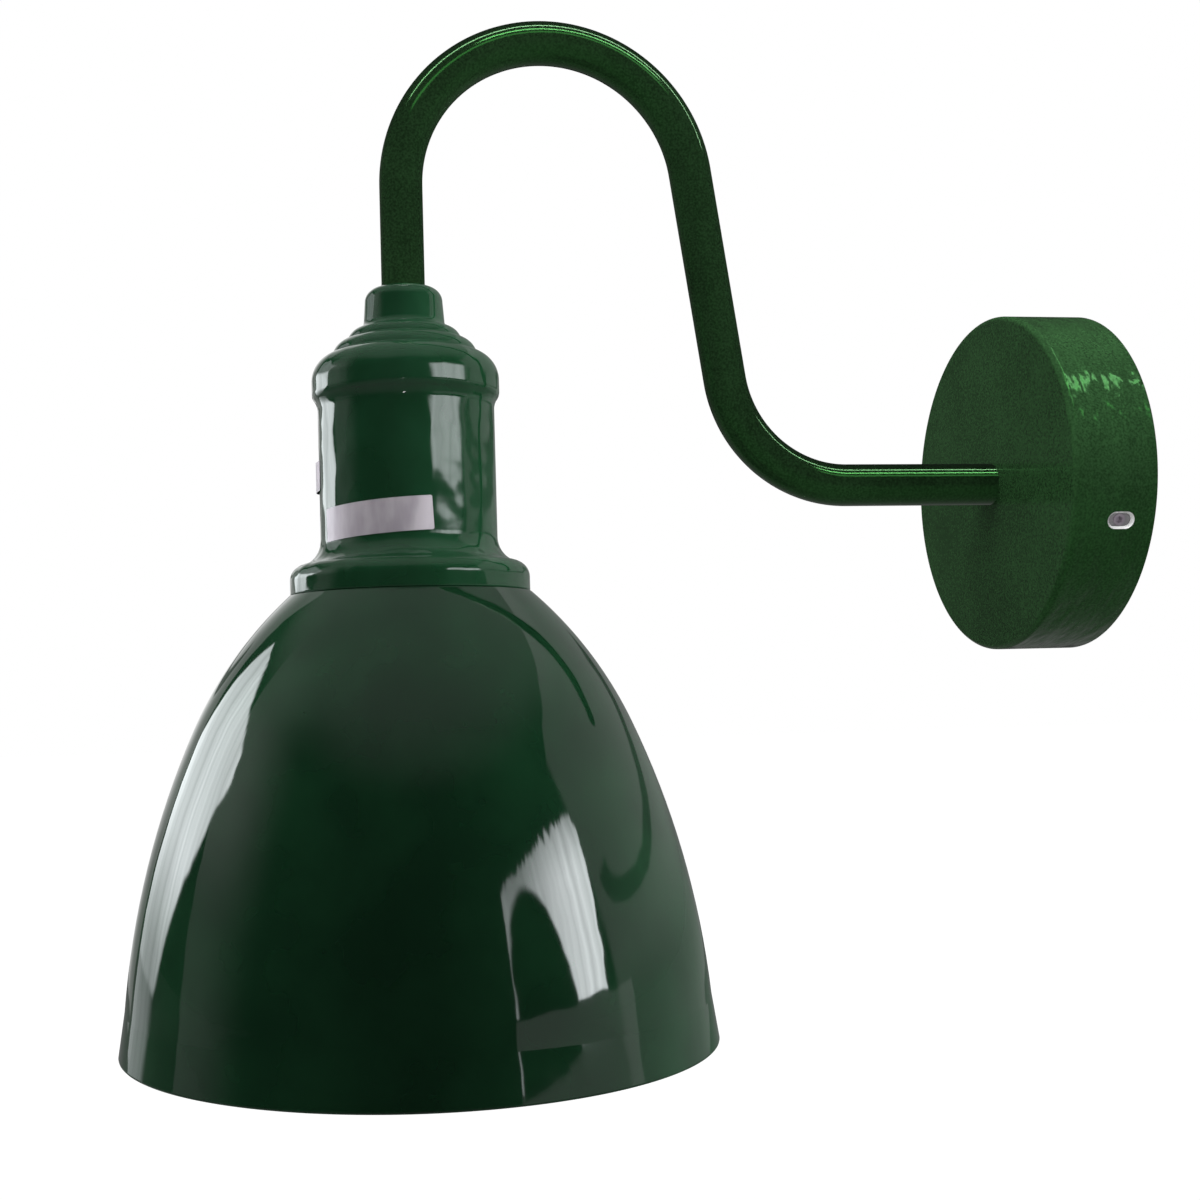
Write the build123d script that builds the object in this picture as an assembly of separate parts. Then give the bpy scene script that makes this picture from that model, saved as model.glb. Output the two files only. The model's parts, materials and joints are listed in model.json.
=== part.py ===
"""Gooseneck wall sconce: round wall rose, bent tube arm, glossy lamp cup and bell shade.

Frame: millimetres, +Z up, origin at the centre of the rose on the wall plane y = 0, wall on +Y.
The arm lies in the plane x = 0 and carries the lamp head, plumb, at y = -REACH.
"""
import math
import os

from build123d import *

# ---------------------------------------------------------------- driving dimensions
# clearances
THREAD_GAP = 0.05        # between a thread's two flanks, drawn as plain cylinders
FIT_GAP = 0.10           # between pieces that slide together by hand
SEAT_GAP = 0.10          # between the loose shade and what clamps it
SLIDE_GAP = 0.06         # radial running clearance of the contact plunger and the shade ring

# arm
REACH = 242.0            # wall plane to lamp axis
TUBE_D = 15.0
TUBE_WALL = 1.2
ARCH_R = 52.0            # centreline radius of the swan-neck arch
ARCH_Z = 105.0           # height of the arch's centre above the rose's centre
LEG_LEAN = 8.0           # degrees that the long leg leans towards the wall, going down
LOW_BEND_R = 44.0        # centreline radius of the bend above the wall run
M10_R = 5.0              # hollow M10 thread
M10_BORE_R = 3.5
STUD_OUT = 12.8          # threaded stud past the rose's front plate
PLUG_LEN = 14.0          # length of each plug brazed inside the tube

# rose (canopy)
ROSE_D = 120.0
ROSE_DEPTH = 29.5
ROSE_WALL = 1.2
ROSE_EDGE_R = 1.5        # outer edge of the front plate

# wall bracket inside the rose
BAR_T = 1.5
BAR_TOP = 0.5            # edges of the flat bar, above and below the rose's centre
BAR_BOTTOM = -24.5
BAR_SLOT_SPACING = 70.0
BAR_SLOT_W = 5.0
BAR_SLOT_L = 10.0
EAR_W = 11.0
EAR_GAP = 0.3            # ear to the rose's inner wall
EAR_TIP_MARGIN = 1.5     # ear beyond the end of the rose's slot
EAR_DROP_DEG = 19.0      # ears and slots sit this far below the horizontal
SLOT_Y = 12.1            # centre of the rose's side slot, from the wall
SLOT_L = 7.8             # slot inside its bright chamfer
SLOT_W = 4.4
SLOT_CHAMFER = 0.85
SET_SCREW_R = 2.0
SET_SCREW_LEN = 6.0
SET_SCREW_RECESS = 1.0   # outer end below the rose's skin
HEX_SOCKET_AF = 2.0

# mains terminal block on the bar
BLOCK_L = 32.0
BLOCK_W = 14.0
BLOCK_H = 12.0
BLOCK_TOP = -4.0         # upper edge of the block
POLE_PITCH = 10.5
INSERT_R = 3.0
INSERT_BORE_R = 1.9
CLAMP_SCREW_R = 1.4
CLAMP_SCREW_PITCH = 7.0
FIX_SCREW_R = 1.4
FIX_HEAD_R = 2.6
FIX_HEAD_H = 1.6
EARTH_X = 23.0
M4_R = 2.0
M4_HEAD_R = 3.8
M4_HEAD_H = 2.6
LUG_T = 0.8
LUG_R = 4.2
LUG_BARREL_R = 2.2
LUG_BARREL_LEN = 6.0

# nuts, washers and bushes
NUT_AF = 14.0
NUT_H = 4.0
WASHER_R = 8.6
WASHER_T = 0.8
WASHER_TEETH = 12
BUSH_FLANGE_R = 5.8
BUSH_FLANGE_T = 1.5
BUSH_SLEEVE = 6.0
BUSH_WALL = 0.5

# lamp cup, measured up from the flange's underside at SEAT_Z
SEAT_Z = -36.7           # height of the flange's underside above the rose's centre
BODY_R = 30.3
CUP_WALL = 1.8
LIP_W = 5.0              # flat landing under the flange
LIP_H = 5.0
LIP_ROUND = 0.6
ROLL_W = 5.4
ROLL_H = 5.6
FLARE_W = 5.3
FLARE_H = 8.4
BODY_H = 44.0
GROOVE_H = 3.5
BEAD_ROUND_H = 2.5
BEAD_PROUD = 1.9
BEAD_H = 4.2
SHOULDER_H = 9.2
LEDGE_H = 0.5
LEDGE_W = 0.45
STEP_TWO_W = 4.8
STEP_TWO_H = 4.4
STEP_ONE_W = 4.2
STEP_ONE_H = 3.6
THROAT_W = 1.4
THROAT_H = 2.7
NECK_H = 11.3
NECK_R = 13.4
NECK_FLARE = 0.5
NECK_ROUND = 4.6
TUBE_SEAT = 10.6         # tube end below the top of the neck
NECK_FLOOR = 6.0         # web between the tube's seat and the cavity
ROOF_R = 14.5
BEAD_ROOF_GAP = 2.5      # start of the cavity's sloping roof, below the bead's top

# lampholder, screwed on the hollow rod
SKIRT_DROP = 15.3        # threaded skirt below the shade's seat
SKIRT_LEN = 44.0
SKIRT_R = 19.6
SKIRT_BORE_R = 14.3
SPIGOT_H = 5.0
SPIGOT_WALL = 1.1
HOLDER_WALL = 1.5
CORE_T = 8.0
CORE_SEAT = 6.0          # core's underside below the skirt's shoulder
CAP_H = 32.0
CAP_SIDE_H = 14.0
BOSS_R = 8.2
BOSS_H = 6.0
BOSS_THREAD = 8.0
GRUB_R = 1.5
SHELL_R = 13.3           # inner radius of the lamp thread shell
SHELL_T = 0.4
SHELL_LEN = 20.0         # threaded wall
SHELL_NECK_R = 11.0      # narrower closed end, under the core
SHELL_NECK_LEN = 8.0
SHELL_LEDGE = 4.9        # flat ring riveted to the core
CONTACT_TRAVEL = 2.5
CONTACT_HEAD_R = 4.5
CONTACT_HEAD_H = 1.2
CONTACT_STEM_R = 1.6
CONTACT_STEM_OUT = 6.0   # contact head below the core
CONTACT_CLIP_R = 2.8
CONTACT_CLIP_H = 0.8
SPRING_WIRE_R = 0.3
SPRING_R = 2.7
SPRING_TURNS = 5
TERMINAL_X = 8.5
TERMINAL_L = 7.0
TERMINAL_W = 6.0
TERMINAL_H = 6.5
TERMINAL_SCREW_R = 1.5
RIVET_R = 1.2
RIVET_HEAD_R = 2.0
RIVET_HEAD_H = 0.7
LIVE_CLEAR = 0.4         # live rivet's head to the shell's ring
BRIDGE_T = 0.5
BRIDGE_W = 5.0

# shade and the ring that clamps it
RIM_R = 100.0
SHADE_T = 1.0
SHADE_DEPTH = 150.3      # shade's top face down to the rim
SHADE_HOLE_R = 20.4
CROWN_R = 41.5           # edge of the flat crown under the flange
CROWN_SLOPE = 48.0       # degrees from the vertical where the dome leaves the crown
KNEE_R = 74.0
KNEE_DEPTH = 44.5
BAND_H = 15.0            # nearly straight band above the rim
BAND_FLARE = 2.2
RING_R = 27.0
RING_H = 6.0
RING_NOTCH_R = 2.2
RING_NOTCHES = 10

# labels, left blank
LABEL_T = 0.2
LABEL_GAP = 0.02
LABEL_H = 11.2
LABEL_FOOT = 0.2         # lower edge above the foot of the cup's straight body
LABEL_FROM, LABEL_TO = -70.0, 9.0          # degrees about the lamp axis, from +X
SIDE_LABEL_H = 10.3
SIDE_LABEL_FOOT = 16.6
SIDE_LABEL_FROM, SIDE_LABEL_TO = -164.0, -84.0

# wires
WIRE_R = 1.1
WIRE_SIDE = 1.5          # each core's distance from the arm's plane
WIRE_BEND = 5.0
WIRE_TIGHT_BEND = 3.4
WIRE_LOOP_Z = 14.0       # top of the loop into the terminal block
EARTH_LOOP_Z = -31.0

# ---------------------------------------------------------------- derived sizes
TUBE_R = TUBE_D / 2
TUBE_BORE_R = TUBE_R - TUBE_WALL
ROSE_R = ROSE_D / 2
ROSE_INNER_R = ROSE_R - ROSE_WALL
EAR_R = ROSE_INNER_R - EAR_GAP
BLOCK_Z = BLOCK_TOP - BLOCK_W / 2
POLE_DEPTH = BAR_T + BLOCK_H / 2
BEAD_R = BODY_R + BEAD_PROUD
ROLL_TOP_R = BODY_R + FLARE_W
FLANGE_R = ROLL_TOP_R + ROLL_W
CAVITY_R = BODY_R - CUP_WALL
FLANGE_H = LIP_H + ROLL_H + FLARE_H
BEAD_TOP_H = FLANGE_H + BODY_H + GROOVE_H + BEAD_ROUND_H + BEAD_H
STEPS_BASE_H = BEAD_TOP_H + SHOULDER_H
NECK_BASE_H = STEPS_BASE_H + LEDGE_H + STEP_TWO_H + LEDGE_H + STEP_ONE_H + THROAT_H
CUP_H = NECK_BASE_H + NECK_H
SEAT_H = CUP_H - TUBE_SEAT
ROOF_H = SEAT_H - NECK_FLOOR
SKIRT_TOP = SKIRT_LEN - SKIRT_DROP
CORE_BOTTOM = SKIRT_TOP - CORE_SEAT
CORE_TOP = CORE_BOTTOM + CORE_T
CAP_TOP = SKIRT_TOP + CAP_H
ROD_BOTTOM = CAP_TOP - BOSS_THREAD
ROD_TOP = SEAT_H + PLUG_LEN
SPIGOT_R = SKIRT_R - HOLDER_WALL
CORE_R = SPIGOT_R - SPIGOT_WALL - FIT_GAP
CROWN_TOP = -SEAT_GAP
CROWN_BOTTOM = CROWN_TOP - SHADE_T

FRONT = Plane(origin=(0, 0, 0), x_dir=(1, 0, 0), z_dir=(0, -1, 0))   # local z = distance from the wall
HEAD = Pos(0, -REACH, SEAT_Z)                                       # local z = height above the seat
BASE = (Align.CENTER, Align.CENTER, Align.MIN)


# ---------------------------------------------------------------- helpers
def rod(radius, bottom, top, x=0.0, y=0.0):
    """Round bar along local Z."""
    return Pos(x, y, bottom) * Cylinder(radius, top - bottom, align=BASE)


def pipe(outer, inner, bottom, top, x=0.0, y=0.0):
    """Round tube along local Z."""
    return rod(outer, bottom, top, x, y) - rod(inner, bottom, top, x, y)


def bar(x_size, y_size, bottom, top, x=0.0, y=0.0):
    """Square bar along local Z."""
    return Pos(x, y, bottom) * Box(x_size, y_size, top - bottom, align=BASE)


def spun(outline):
    """Turned solid from a closed outline drawn as (radius, height)."""
    return revolve(Plane.XZ * make_face(outline), Axis.Z)


def turned(*points):
    """Turned solid from the corners of its half section, (radius, height)."""
    return spun(Polyline(*points, close=True))


def group(solids):
    """Several separate solids kept as one node."""
    return Compound(children=[solid for piece in solids for solid in piece.solids()])


def hex_nut(bottom):
    """M10 lock nut."""
    blank = extrude(RegularPolygon(NUT_AF / 2, 6, major_radius=False), NUT_H)
    return Pos(0, 0, bottom) * blank - rod(M10_R + THREAD_GAP, bottom, bottom + NUT_H)


def toothed_washer(bottom):
    """M10 lock washer with outside teeth."""
    disc = pipe(WASHER_R, M10_R + FIT_GAP, bottom, bottom + WASHER_T)
    notch = bar(WASHER_R / 4, WASHER_R / 6, bottom, bottom + WASHER_T, x=WASHER_R)
    for turn in range(WASHER_TEETH):
        disc -= Rot(0, 0, turn * 360 / WASHER_TEETH) * notch
    return disc


def headed_screw(shank_r, head_r, head_h, length):
    """Slotted screw with its head's underside at z = 0 and its shank along -Z."""
    slot = bar(head_r * 2.2, head_r / 4, head_h / 2, head_h)
    return rod(head_r, 0, head_h) + rod(shank_r, -length, 0) - slot


def from_wall(solid):
    """Place a solid whose local z is the distance from the wall."""
    return FRONT * solid


def on_head(solid):
    """Place a solid whose local z is the height above the shade's seat."""
    return HEAD * solid


def on_ear(side, solid):
    """Turn a solid built along +X to the rose's ear on that side (+1 or -1)."""
    tilt = Rot(0, EAR_DROP_DEG, 0) * solid
    return tilt if side > 0 else mirror(tilt, Plane.YZ)


# ---------------------------------------------------------------- rose and wall bracket
def slot_cutter(grow, inner, outer):
    """Obround bar along +X, long in Y, centred on the rose's slot."""
    blank = SlotOverall(SLOT_L + 2 * grow, SLOT_W + 2 * grow)
    face = Plane(origin=(inner, -SLOT_Y, 0), x_dir=(0, 1, 0), z_dir=(1, 0, 0)) * blank
    return extrude(face, outer - inner)


def slot_chamfer():
    """Tapered obround that leaves the slot's bright chamfer."""
    blank = SlotOverall(SLOT_L + 2 * SLOT_CHAMFER, SLOT_W + 2 * SLOT_CHAMFER)
    face = Plane(origin=(ROSE_R, -SLOT_Y, 0), x_dir=(0, 1, 0), z_dir=(-1, 0, 0)) * blank
    return extrude(face, SLOT_CHAMFER, taper=45)


def canopy():
    """Pressed round rose, open to the wall, with a hole for the arm and two side slots."""
    shell = rod(ROSE_R, 0, ROSE_DEPTH)
    shell = fillet(shell.edges().sort_by(Axis.Z)[-1], ROSE_EDGE_R)
    shell -= rod(ROSE_INNER_R, 0, ROSE_DEPTH - ROSE_WALL)
    shell -= rod(M10_R + FIT_GAP, 0, ROSE_DEPTH)
    shell = from_wall(shell)
    for side in (1, -1):
        shell -= on_ear(side, slot_cutter(0, ROSE_INNER_R - EAR_W, ROSE_R + EAR_W))
        shell -= on_ear(side, slot_chamfer())
    return shell


def ear_tip():
    """Distance from the wall of the ears' free ends."""
    return SLOT_Y + SLOT_L / 2 + EAR_TIP_MARGIN


def wall_bracket():
    """Galvanised strap: flat bar on the wall, ends rolled to the rose's curve and turned forward."""
    plate = pipe(EAR_R, EAR_R - BAR_T, 0, ear_tip())
    ears = None
    for side in (1, -1):
        window = on_ear(side, Pos(EAR_R, 0, 0) * Box(EAR_R, 3 * ear_tip(), EAR_W))
        piece = from_wall(plate) & window
        ears = piece if ears is None else ears + piece
    width = BAR_TOP - BAR_BOTTOM
    flat = rod(EAR_R, 0, BAR_T) & bar(2 * EAR_R, width, 0, BAR_T, y=(BAR_TOP + BAR_BOTTOM) / 2)
    for x in (-BAR_SLOT_SPACING / 2, BAR_SLOT_SPACING / 2):
        hole = extrude(SlotOverall(BAR_SLOT_L, BAR_SLOT_W), BAR_T)
        flat -= Pos(x, bar_middle(), 0) * hole
    flat -= rod(M4_R + THREAD_GAP, 0, BAR_T, EARTH_X, BLOCK_Z)
    for x in fix_screw_places():
        flat -= rod(FIX_SCREW_R + THREAD_GAP, 0, BAR_T, x, BLOCK_Z)
    strap = from_wall(flat) + ears
    for side in (1, -1):
        strap -= on_ear(side, Pos(0, -SLOT_Y, 0) * Rot(0, 90, 0) * rod(SET_SCREW_R + THREAD_GAP, 0, ROSE_R))
    return strap


def bar_middle():
    """Height of the bar's centreline, where its two wall slots are."""
    return (BAR_TOP + BAR_BOTTOM) / 2


def canopy_set_screws():
    """Two socket set screws, backed out of the ears into the rose's slots."""
    outer = ROSE_R - SET_SCREW_RECESS
    screw = rod(SET_SCREW_R, outer - SET_SCREW_LEN, outer)
    socket = extrude(RegularPolygon(HEX_SOCKET_AF / 2, 6, major_radius=False), SET_SCREW_LEN / 3)
    screw -= Pos(0, 0, outer - SET_SCREW_LEN / 3) * socket
    lying = Pos(0, -SLOT_Y, 0) * Rot(0, 90, 0) * screw
    return group(on_ear(side, lying) for side in (1, -1))


# ---------------------------------------------------------------- mains terminals in the rose
def pole_places():
    return (-POLE_PITCH, 0.0, POLE_PITCH)


def fix_screw_places():
    return (-POLE_PITCH / 2, POLE_PITCH / 2)


def clamp_screw_heights():
    return (BLOCK_Z - CLAMP_SCREW_PITCH / 2, BLOCK_Z + CLAMP_SCREW_PITCH / 2)


def across(radius, x, depth, length, middle):
    """Round bar along Z, placed by its distance from the wall."""
    return Pos(x, -depth, middle - length / 2) * Cylinder(radius, length, align=BASE)


def terminal_block():
    """Three-pole block screwed to the bar."""
    block = bar(BLOCK_L, BLOCK_W, BAR_T, BAR_T + BLOCK_H, y=BLOCK_Z)
    block = fillet(block.edges().filter_by(Axis.Z), 1.5)
    for x in pole_places():
        for z in clamp_screw_heights():
            block -= rod(CLAMP_SCREW_R + FIT_GAP, POLE_DEPTH, BAR_T + BLOCK_H, x, z)
    for x in fix_screw_places():
        block -= rod(FIX_SCREW_R + FIT_GAP, BAR_T, BAR_T + BLOCK_H, x, BLOCK_Z)
    block = from_wall(block)
    for x in pole_places():
        block -= across(INSERT_R + THREAD_GAP, x, POLE_DEPTH, BLOCK_W, BLOCK_Z)
    return block


def terminal_inserts():
    """Brass tubes of the three poles."""
    tubes = []
    for x in pole_places():
        tube = across(INSERT_R, x, POLE_DEPTH, BLOCK_W, BLOCK_Z)
        tube -= across(INSERT_BORE_R, x, POLE_DEPTH, BLOCK_W, BLOCK_Z)
        for z in clamp_screw_heights():
            tube -= from_wall(rod(CLAMP_SCREW_R + THREAD_GAP, POLE_DEPTH, BAR_T + BLOCK_H, x, z))
        tubes.append(tube)
    return group(tubes)


def terminal_clamp_screws():
    """Six clamping screws, a pair for each pole."""
    tip = POLE_DEPTH + WIRE_R + THREAD_GAP
    top = BAR_T + BLOCK_H - 1.0
    slot = bar(CLAMP_SCREW_R * 3, CLAMP_SCREW_R / 3, top - 0.8, top)
    screw = rod(CLAMP_SCREW_R, tip, top) - slot
    return group(from_wall(Pos(x, z, 0) * screw) for x in pole_places() for z in clamp_screw_heights())


def terminal_fixing_screws():
    """Two screws that hold the block to the bar."""
    screw = headed_screw(FIX_SCREW_R, FIX_HEAD_R, FIX_HEAD_H, BLOCK_H + BAR_T)
    return group(from_wall(Pos(x, BLOCK_Z, BAR_T + BLOCK_H) * screw) for x in fix_screw_places())


def earth_lug():
    """Ring lug on the bar, its barrel pointing down."""
    ring = pipe(LUG_R, M4_R + FIT_GAP, BAR_T, BAR_T + LUG_T, EARTH_X, BLOCK_Z)
    barrel_z = BAR_T + LUG_BARREL_R
    top = BLOCK_Z - LUG_R + 1.0
    barrel = across(LUG_BARREL_R, EARTH_X, barrel_z, LUG_BARREL_LEN, top - LUG_BARREL_LEN / 2)
    barrel -= across(WIRE_R + FIT_GAP, EARTH_X, barrel_z, LUG_BARREL_LEN, top - LUG_BARREL_LEN / 2)
    barrel -= from_wall(rod(M4_HEAD_R + FIT_GAP, 0, ROSE_DEPTH, EARTH_X, BLOCK_Z))
    return from_wall(ring) + barrel


def earth_screw():
    """M4 screw through the lug into the bar."""
    screw = headed_screw(M4_R, M4_HEAD_R, M4_HEAD_H, LUG_T + BAR_T)
    return from_wall(Pos(EARTH_X, BLOCK_Z, BAR_T + LUG_T) * screw)


# ---------------------------------------------------------------- arm
def arm_path(end_z, x=0.0):
    """Centreline of the arm, from the rose's front to end_z above the rose's centre on the lamp axis."""
    lean = math.radians(LEG_LEAN)
    arch_y = -REACH + ARCH_R
    leg_top = (arch_y + ARCH_R * math.cos(lean), ARCH_Z + ARCH_R * math.sin(lean))
    corner_y = leg_top[0] + leg_top[1] * math.tan(lean)
    setback = LOW_BEND_R * math.tan(math.radians(90 - LEG_LEAN) / 2)
    with BuildLine() as path:
        run = Line((-ROSE_DEPTH, 0), (corner_y + setback, 0))
        low = JernArc(run @ 1, run % 1, LOW_BEND_R, LEG_LEAN - 90)
        leg = Line(low @ 1, leg_top)
        arch = JernArc(leg @ 1, leg % 1, ARCH_R, 180 - LEG_LEAN)
        Line(arch @ 1, (-REACH, end_z))
    return Pos(x, 0, 0) * (Plane.YZ * path.wires()[0])


def along(path, radius):
    """Round bar swept along a path of straight runs and tangent arcs."""
    return sweep(Plane(origin=path @ 0, z_dir=path % 0) * Circle(radius), path=path)


def arm_tube():
    """Bent tube."""
    path = arm_path(SEAT_Z + SEAT_H)
    return along(path, TUBE_R) - along(path, TUBE_BORE_R)


def arm_wall_stud():
    """Plug brazed in the tube's wall end, with the hollow threaded stud that passes the rose."""
    plug = rod(TUBE_BORE_R - THREAD_GAP, ROSE_DEPTH, ROSE_DEPTH + PLUG_LEN)
    stud = rod(M10_R, ROSE_DEPTH - STUD_OUT, ROSE_DEPTH)
    return from_wall(plug + stud - rod(M10_BORE_R, 0, ROSE_DEPTH + PLUG_LEN))


def arm_washer():
    return from_wall(toothed_washer(ROSE_DEPTH - ROSE_WALL - WASHER_T))


def arm_nut():
    return from_wall(hex_nut(ROSE_DEPTH - ROSE_WALL - WASHER_T - NUT_H))


def cable_bush():
    """Plastic bush that keeps the cores off the stud's edge."""
    end = ROSE_DEPTH - STUD_OUT
    flange = rod(BUSH_FLANGE_R, end - BUSH_FLANGE_T, end)
    sleeve = rod(M10_BORE_R - THREAD_GAP, end, end + BUSH_SLEEVE)
    bore = rod(M10_BORE_R - BUSH_WALL, 0, ROSE_DEPTH)
    return from_wall(flange + sleeve - bore)


def arm_lamp_plug():
    """Threaded plug brazed in the tube's lamp end."""
    return on_head(pipe(TUBE_BORE_R - THREAD_GAP, M10_R + THREAD_GAP, SEAT_H, ROD_TOP))


def hollow_rod():
    """M10 all-thread that hangs the cup and the lampholder from the arm."""
    return on_head(pipe(M10_R, M10_BORE_R, ROD_BOTTOM, ROD_TOP - 1.0))


# ---------------------------------------------------------------- lamp cup
def cup_outline():
    """Closed half section of the cup, (radius, height above the seat)."""
    heights = [LIP_H]
    for rise in (ROLL_H, FLARE_H, BODY_H, GROOVE_H, BEAD_ROUND_H, BEAD_H, SHOULDER_H):
        heights.append(heights[-1] + rise)
    lip, roll, flare, body, groove, bead, bead_top, shoulder = heights
    neck_base_r = NECK_R + NECK_FLARE
    step_one_in = neck_base_r + THROAT_W
    step_one_out = step_one_in + STEP_ONE_W
    step_two_in = step_one_out + LEDGE_W
    step_two_out = step_two_in + STEP_TWO_W
    step_two_h = shoulder + LEDGE_H
    step_one_h = step_two_h + STEP_TWO_H + LEDGE_H
    with BuildLine() as line:
        Line((FLANGE_R - LIP_W, 0), (FLANGE_R - LIP_ROUND, 0))
        edge = TangentArc((FLANGE_R - LIP_ROUND, 0), (FLANGE_R, LIP_ROUND), tangent=(1, 0))
        side = Line(edge @ 1, (FLANGE_R, lip))
        TangentArc(side @ 1, (ROLL_TOP_R, roll), tangent=(0, 1))
        TangentArc((BODY_R, flare), (ROLL_TOP_R, roll), tangent=(0, -1))
        Line((BODY_R, flare), (BODY_R, body))
        TangentArc((BODY_R, body), (BEAD_R - BEAD_PROUD / 2, groove), tangent=(0, 1))
        TangentArc((BEAD_R, bead), (BEAD_R - BEAD_PROUD / 2, groove), tangent=(0, -1))
        Line((BEAD_R, bead), (BEAD_R, bead_top))
        TangentArc((BEAD_R, bead_top), (step_two_out + LEDGE_W, shoulder), tangent=(0, 1))
        Line((step_two_out + LEDGE_W, shoulder), (step_two_out, step_two_h))
        bulge(step_two_out, step_two_h, step_two_in, step_two_h + STEP_TWO_H)
        Line((step_two_in, step_two_h + STEP_TWO_H), (step_one_out, step_one_h))
        bulge(step_one_out, step_one_h, step_one_in, step_one_h + STEP_ONE_H)
        TangentArc((neck_base_r, NECK_BASE_H), (step_one_in, step_one_h + STEP_ONE_H), tangent=(0, -1))
        Line((neck_base_r, NECK_BASE_H), (NECK_R, CUP_H - NECK_ROUND))
        TangentArc((NECK_R, CUP_H - NECK_ROUND), (NECK_R - NECK_ROUND, CUP_H), tangent=(0, 1))
        Line((NECK_R - NECK_ROUND, CUP_H), (TUBE_R + FIT_GAP, CUP_H))
        Polyline(
            (TUBE_R + FIT_GAP, CUP_H), (TUBE_R + FIT_GAP, SEAT_H), (M10_R + FIT_GAP, SEAT_H),
            (M10_R + FIT_GAP, ROOF_H), (ROOF_R, ROOF_H), (CAVITY_R, BEAD_TOP_H - BEAD_ROOF_GAP),
            (CAVITY_R, FLANGE_H), (FLANGE_R - LIP_W, 0))
    return line.line


def bulge(r_low, h_low, r_high, h_high):
    """Convex quarter-like arc of a shoulder ring, steep at its foot."""
    return TangentArc((r_low, h_low), (r_high, h_high), tangent=(-0.25, 1))


def socket_cup():
    """Glossy cup that hides the lampholder."""
    return on_head(spun(cup_outline()))


def cup_washer():
    return on_head(toothed_washer(ROOF_H - WASHER_T))


def cup_nut():
    return on_head(hex_nut(ROOF_H - WASHER_T - NUT_H))


def label(height, foot, start, stop):
    """Blank foil label wrapped on the cup's straight body."""
    inner = BODY_R + LABEL_GAP
    low = FLANGE_H + foot
    ring = pipe(inner + LABEL_T, inner, low, low + height)
    about_axis = (Align.NONE, Align.NONE, Align.CENTER)
    wedge = Rot(0, 0, start) * Cylinder(2 * BODY_R, 2 * CUP_H, arc_size=stop - start, align=about_axis)
    return on_head(ring & wedge)


# ---------------------------------------------------------------- lampholder
def holder_cap():
    """Domed cap of the lampholder, threaded on the rod."""
    side_top = SKIRT_TOP + CAP_SIDE_H
    boss_base = CAP_TOP - BOSS_H
    cap = turned(
        (M10_R + THREAD_GAP, CAP_TOP), (BOSS_R, CAP_TOP), (BOSS_R, boss_base), (SKIRT_R, side_top),
        (SKIRT_R, SKIRT_TOP), (SPIGOT_R + THREAD_GAP, SKIRT_TOP),
        (SPIGOT_R + THREAD_GAP, side_top - HOLDER_WALL), (BOSS_R, CAP_TOP - BOSS_THREAD - HOLDER_WALL),
        (M10_BORE_R, CAP_TOP - BOSS_THREAD - HOLDER_WALL), (M10_BORE_R, ROD_BOTTOM - FIT_GAP),
        (M10_R + THREAD_GAP, ROD_BOTTOM - FIT_GAP))
    return on_head(cap - grub(GRUB_R + THREAD_GAP, 0, BOSS_R * 2))


def grub(radius, start, outer):
    """Radial bar through the cap's boss."""
    middle = CAP_TOP - BOSS_H / 2
    return Pos(start, 0, middle) * Rot(0, 90, 0) * Cylinder(radius, outer - start, align=BASE)


def holder_grub_screw():
    """Grub screw that stops the cap turning on the rod."""
    slot = Pos(BOSS_R - 0.6, 0, CAP_TOP - BOSS_H / 2) * Box(0.8, GRUB_R * 3, 0.5)
    return on_head(grub(GRUB_R, M10_R + THREAD_GAP, BOSS_R - 0.2) - slot)


def holder_skirt():
    """Threaded skirt of the lampholder; the shade ring runs on it."""
    spigot_in = SPIGOT_R - SPIGOT_WALL
    return on_head(turned(
        (SKIRT_BORE_R, -SKIRT_DROP), (SKIRT_R, -SKIRT_DROP), (SKIRT_R, SKIRT_TOP), (SPIGOT_R, SKIRT_TOP),
        (SPIGOT_R, SKIRT_TOP + SPIGOT_H), (spigot_in, SKIRT_TOP + SPIGOT_H), (spigot_in, CORE_BOTTOM),
        (SKIRT_BORE_R, CORE_BOTTOM)))


def holder_core():
    """Ceramic core that carries the terminals, the thread shell and the centre contact."""
    core = rod(CORE_R, CORE_BOTTOM, CORE_TOP)
    core -= rod(CONTACT_STEM_R + SLIDE_GAP, CORE_BOTTOM, CORE_TOP)
    for x in (-TERMINAL_X, TERMINAL_X):
        core -= rod(RIVET_R + THREAD_GAP, CORE_BOTTOM, CORE_TOP, x)
    return on_head(core)


def screw_shell():
    """Brass thread shell for the lamp, with a flat ring riveted under the core."""
    top = CORE_BOTTOM
    wall_top = top - SHELL_NECK_LEN
    mouth = wall_top - SHELL_LEN
    neck_out = SHELL_NECK_R + SHELL_T
    shell = turned(
        (SHELL_R, mouth), (SHELL_R + SHELL_T, mouth), (SHELL_R + SHELL_T, wall_top + SHELL_T),
        (neck_out, wall_top + SHELL_T), (neck_out, top), (neck_out - SHELL_LEDGE, top),
        (neck_out - SHELL_LEDGE, top - SHELL_T), (SHELL_NECK_R, top - SHELL_T), (SHELL_NECK_R, wall_top),
        (SHELL_R, wall_top))
    shell -= rod(RIVET_HEAD_R + LIVE_CLEAR, top - SHELL_T, top, -TERMINAL_X)
    return on_head(shell - rod(RIVET_R + THREAD_GAP, top - SHELL_T, top, TERMINAL_X))


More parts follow.
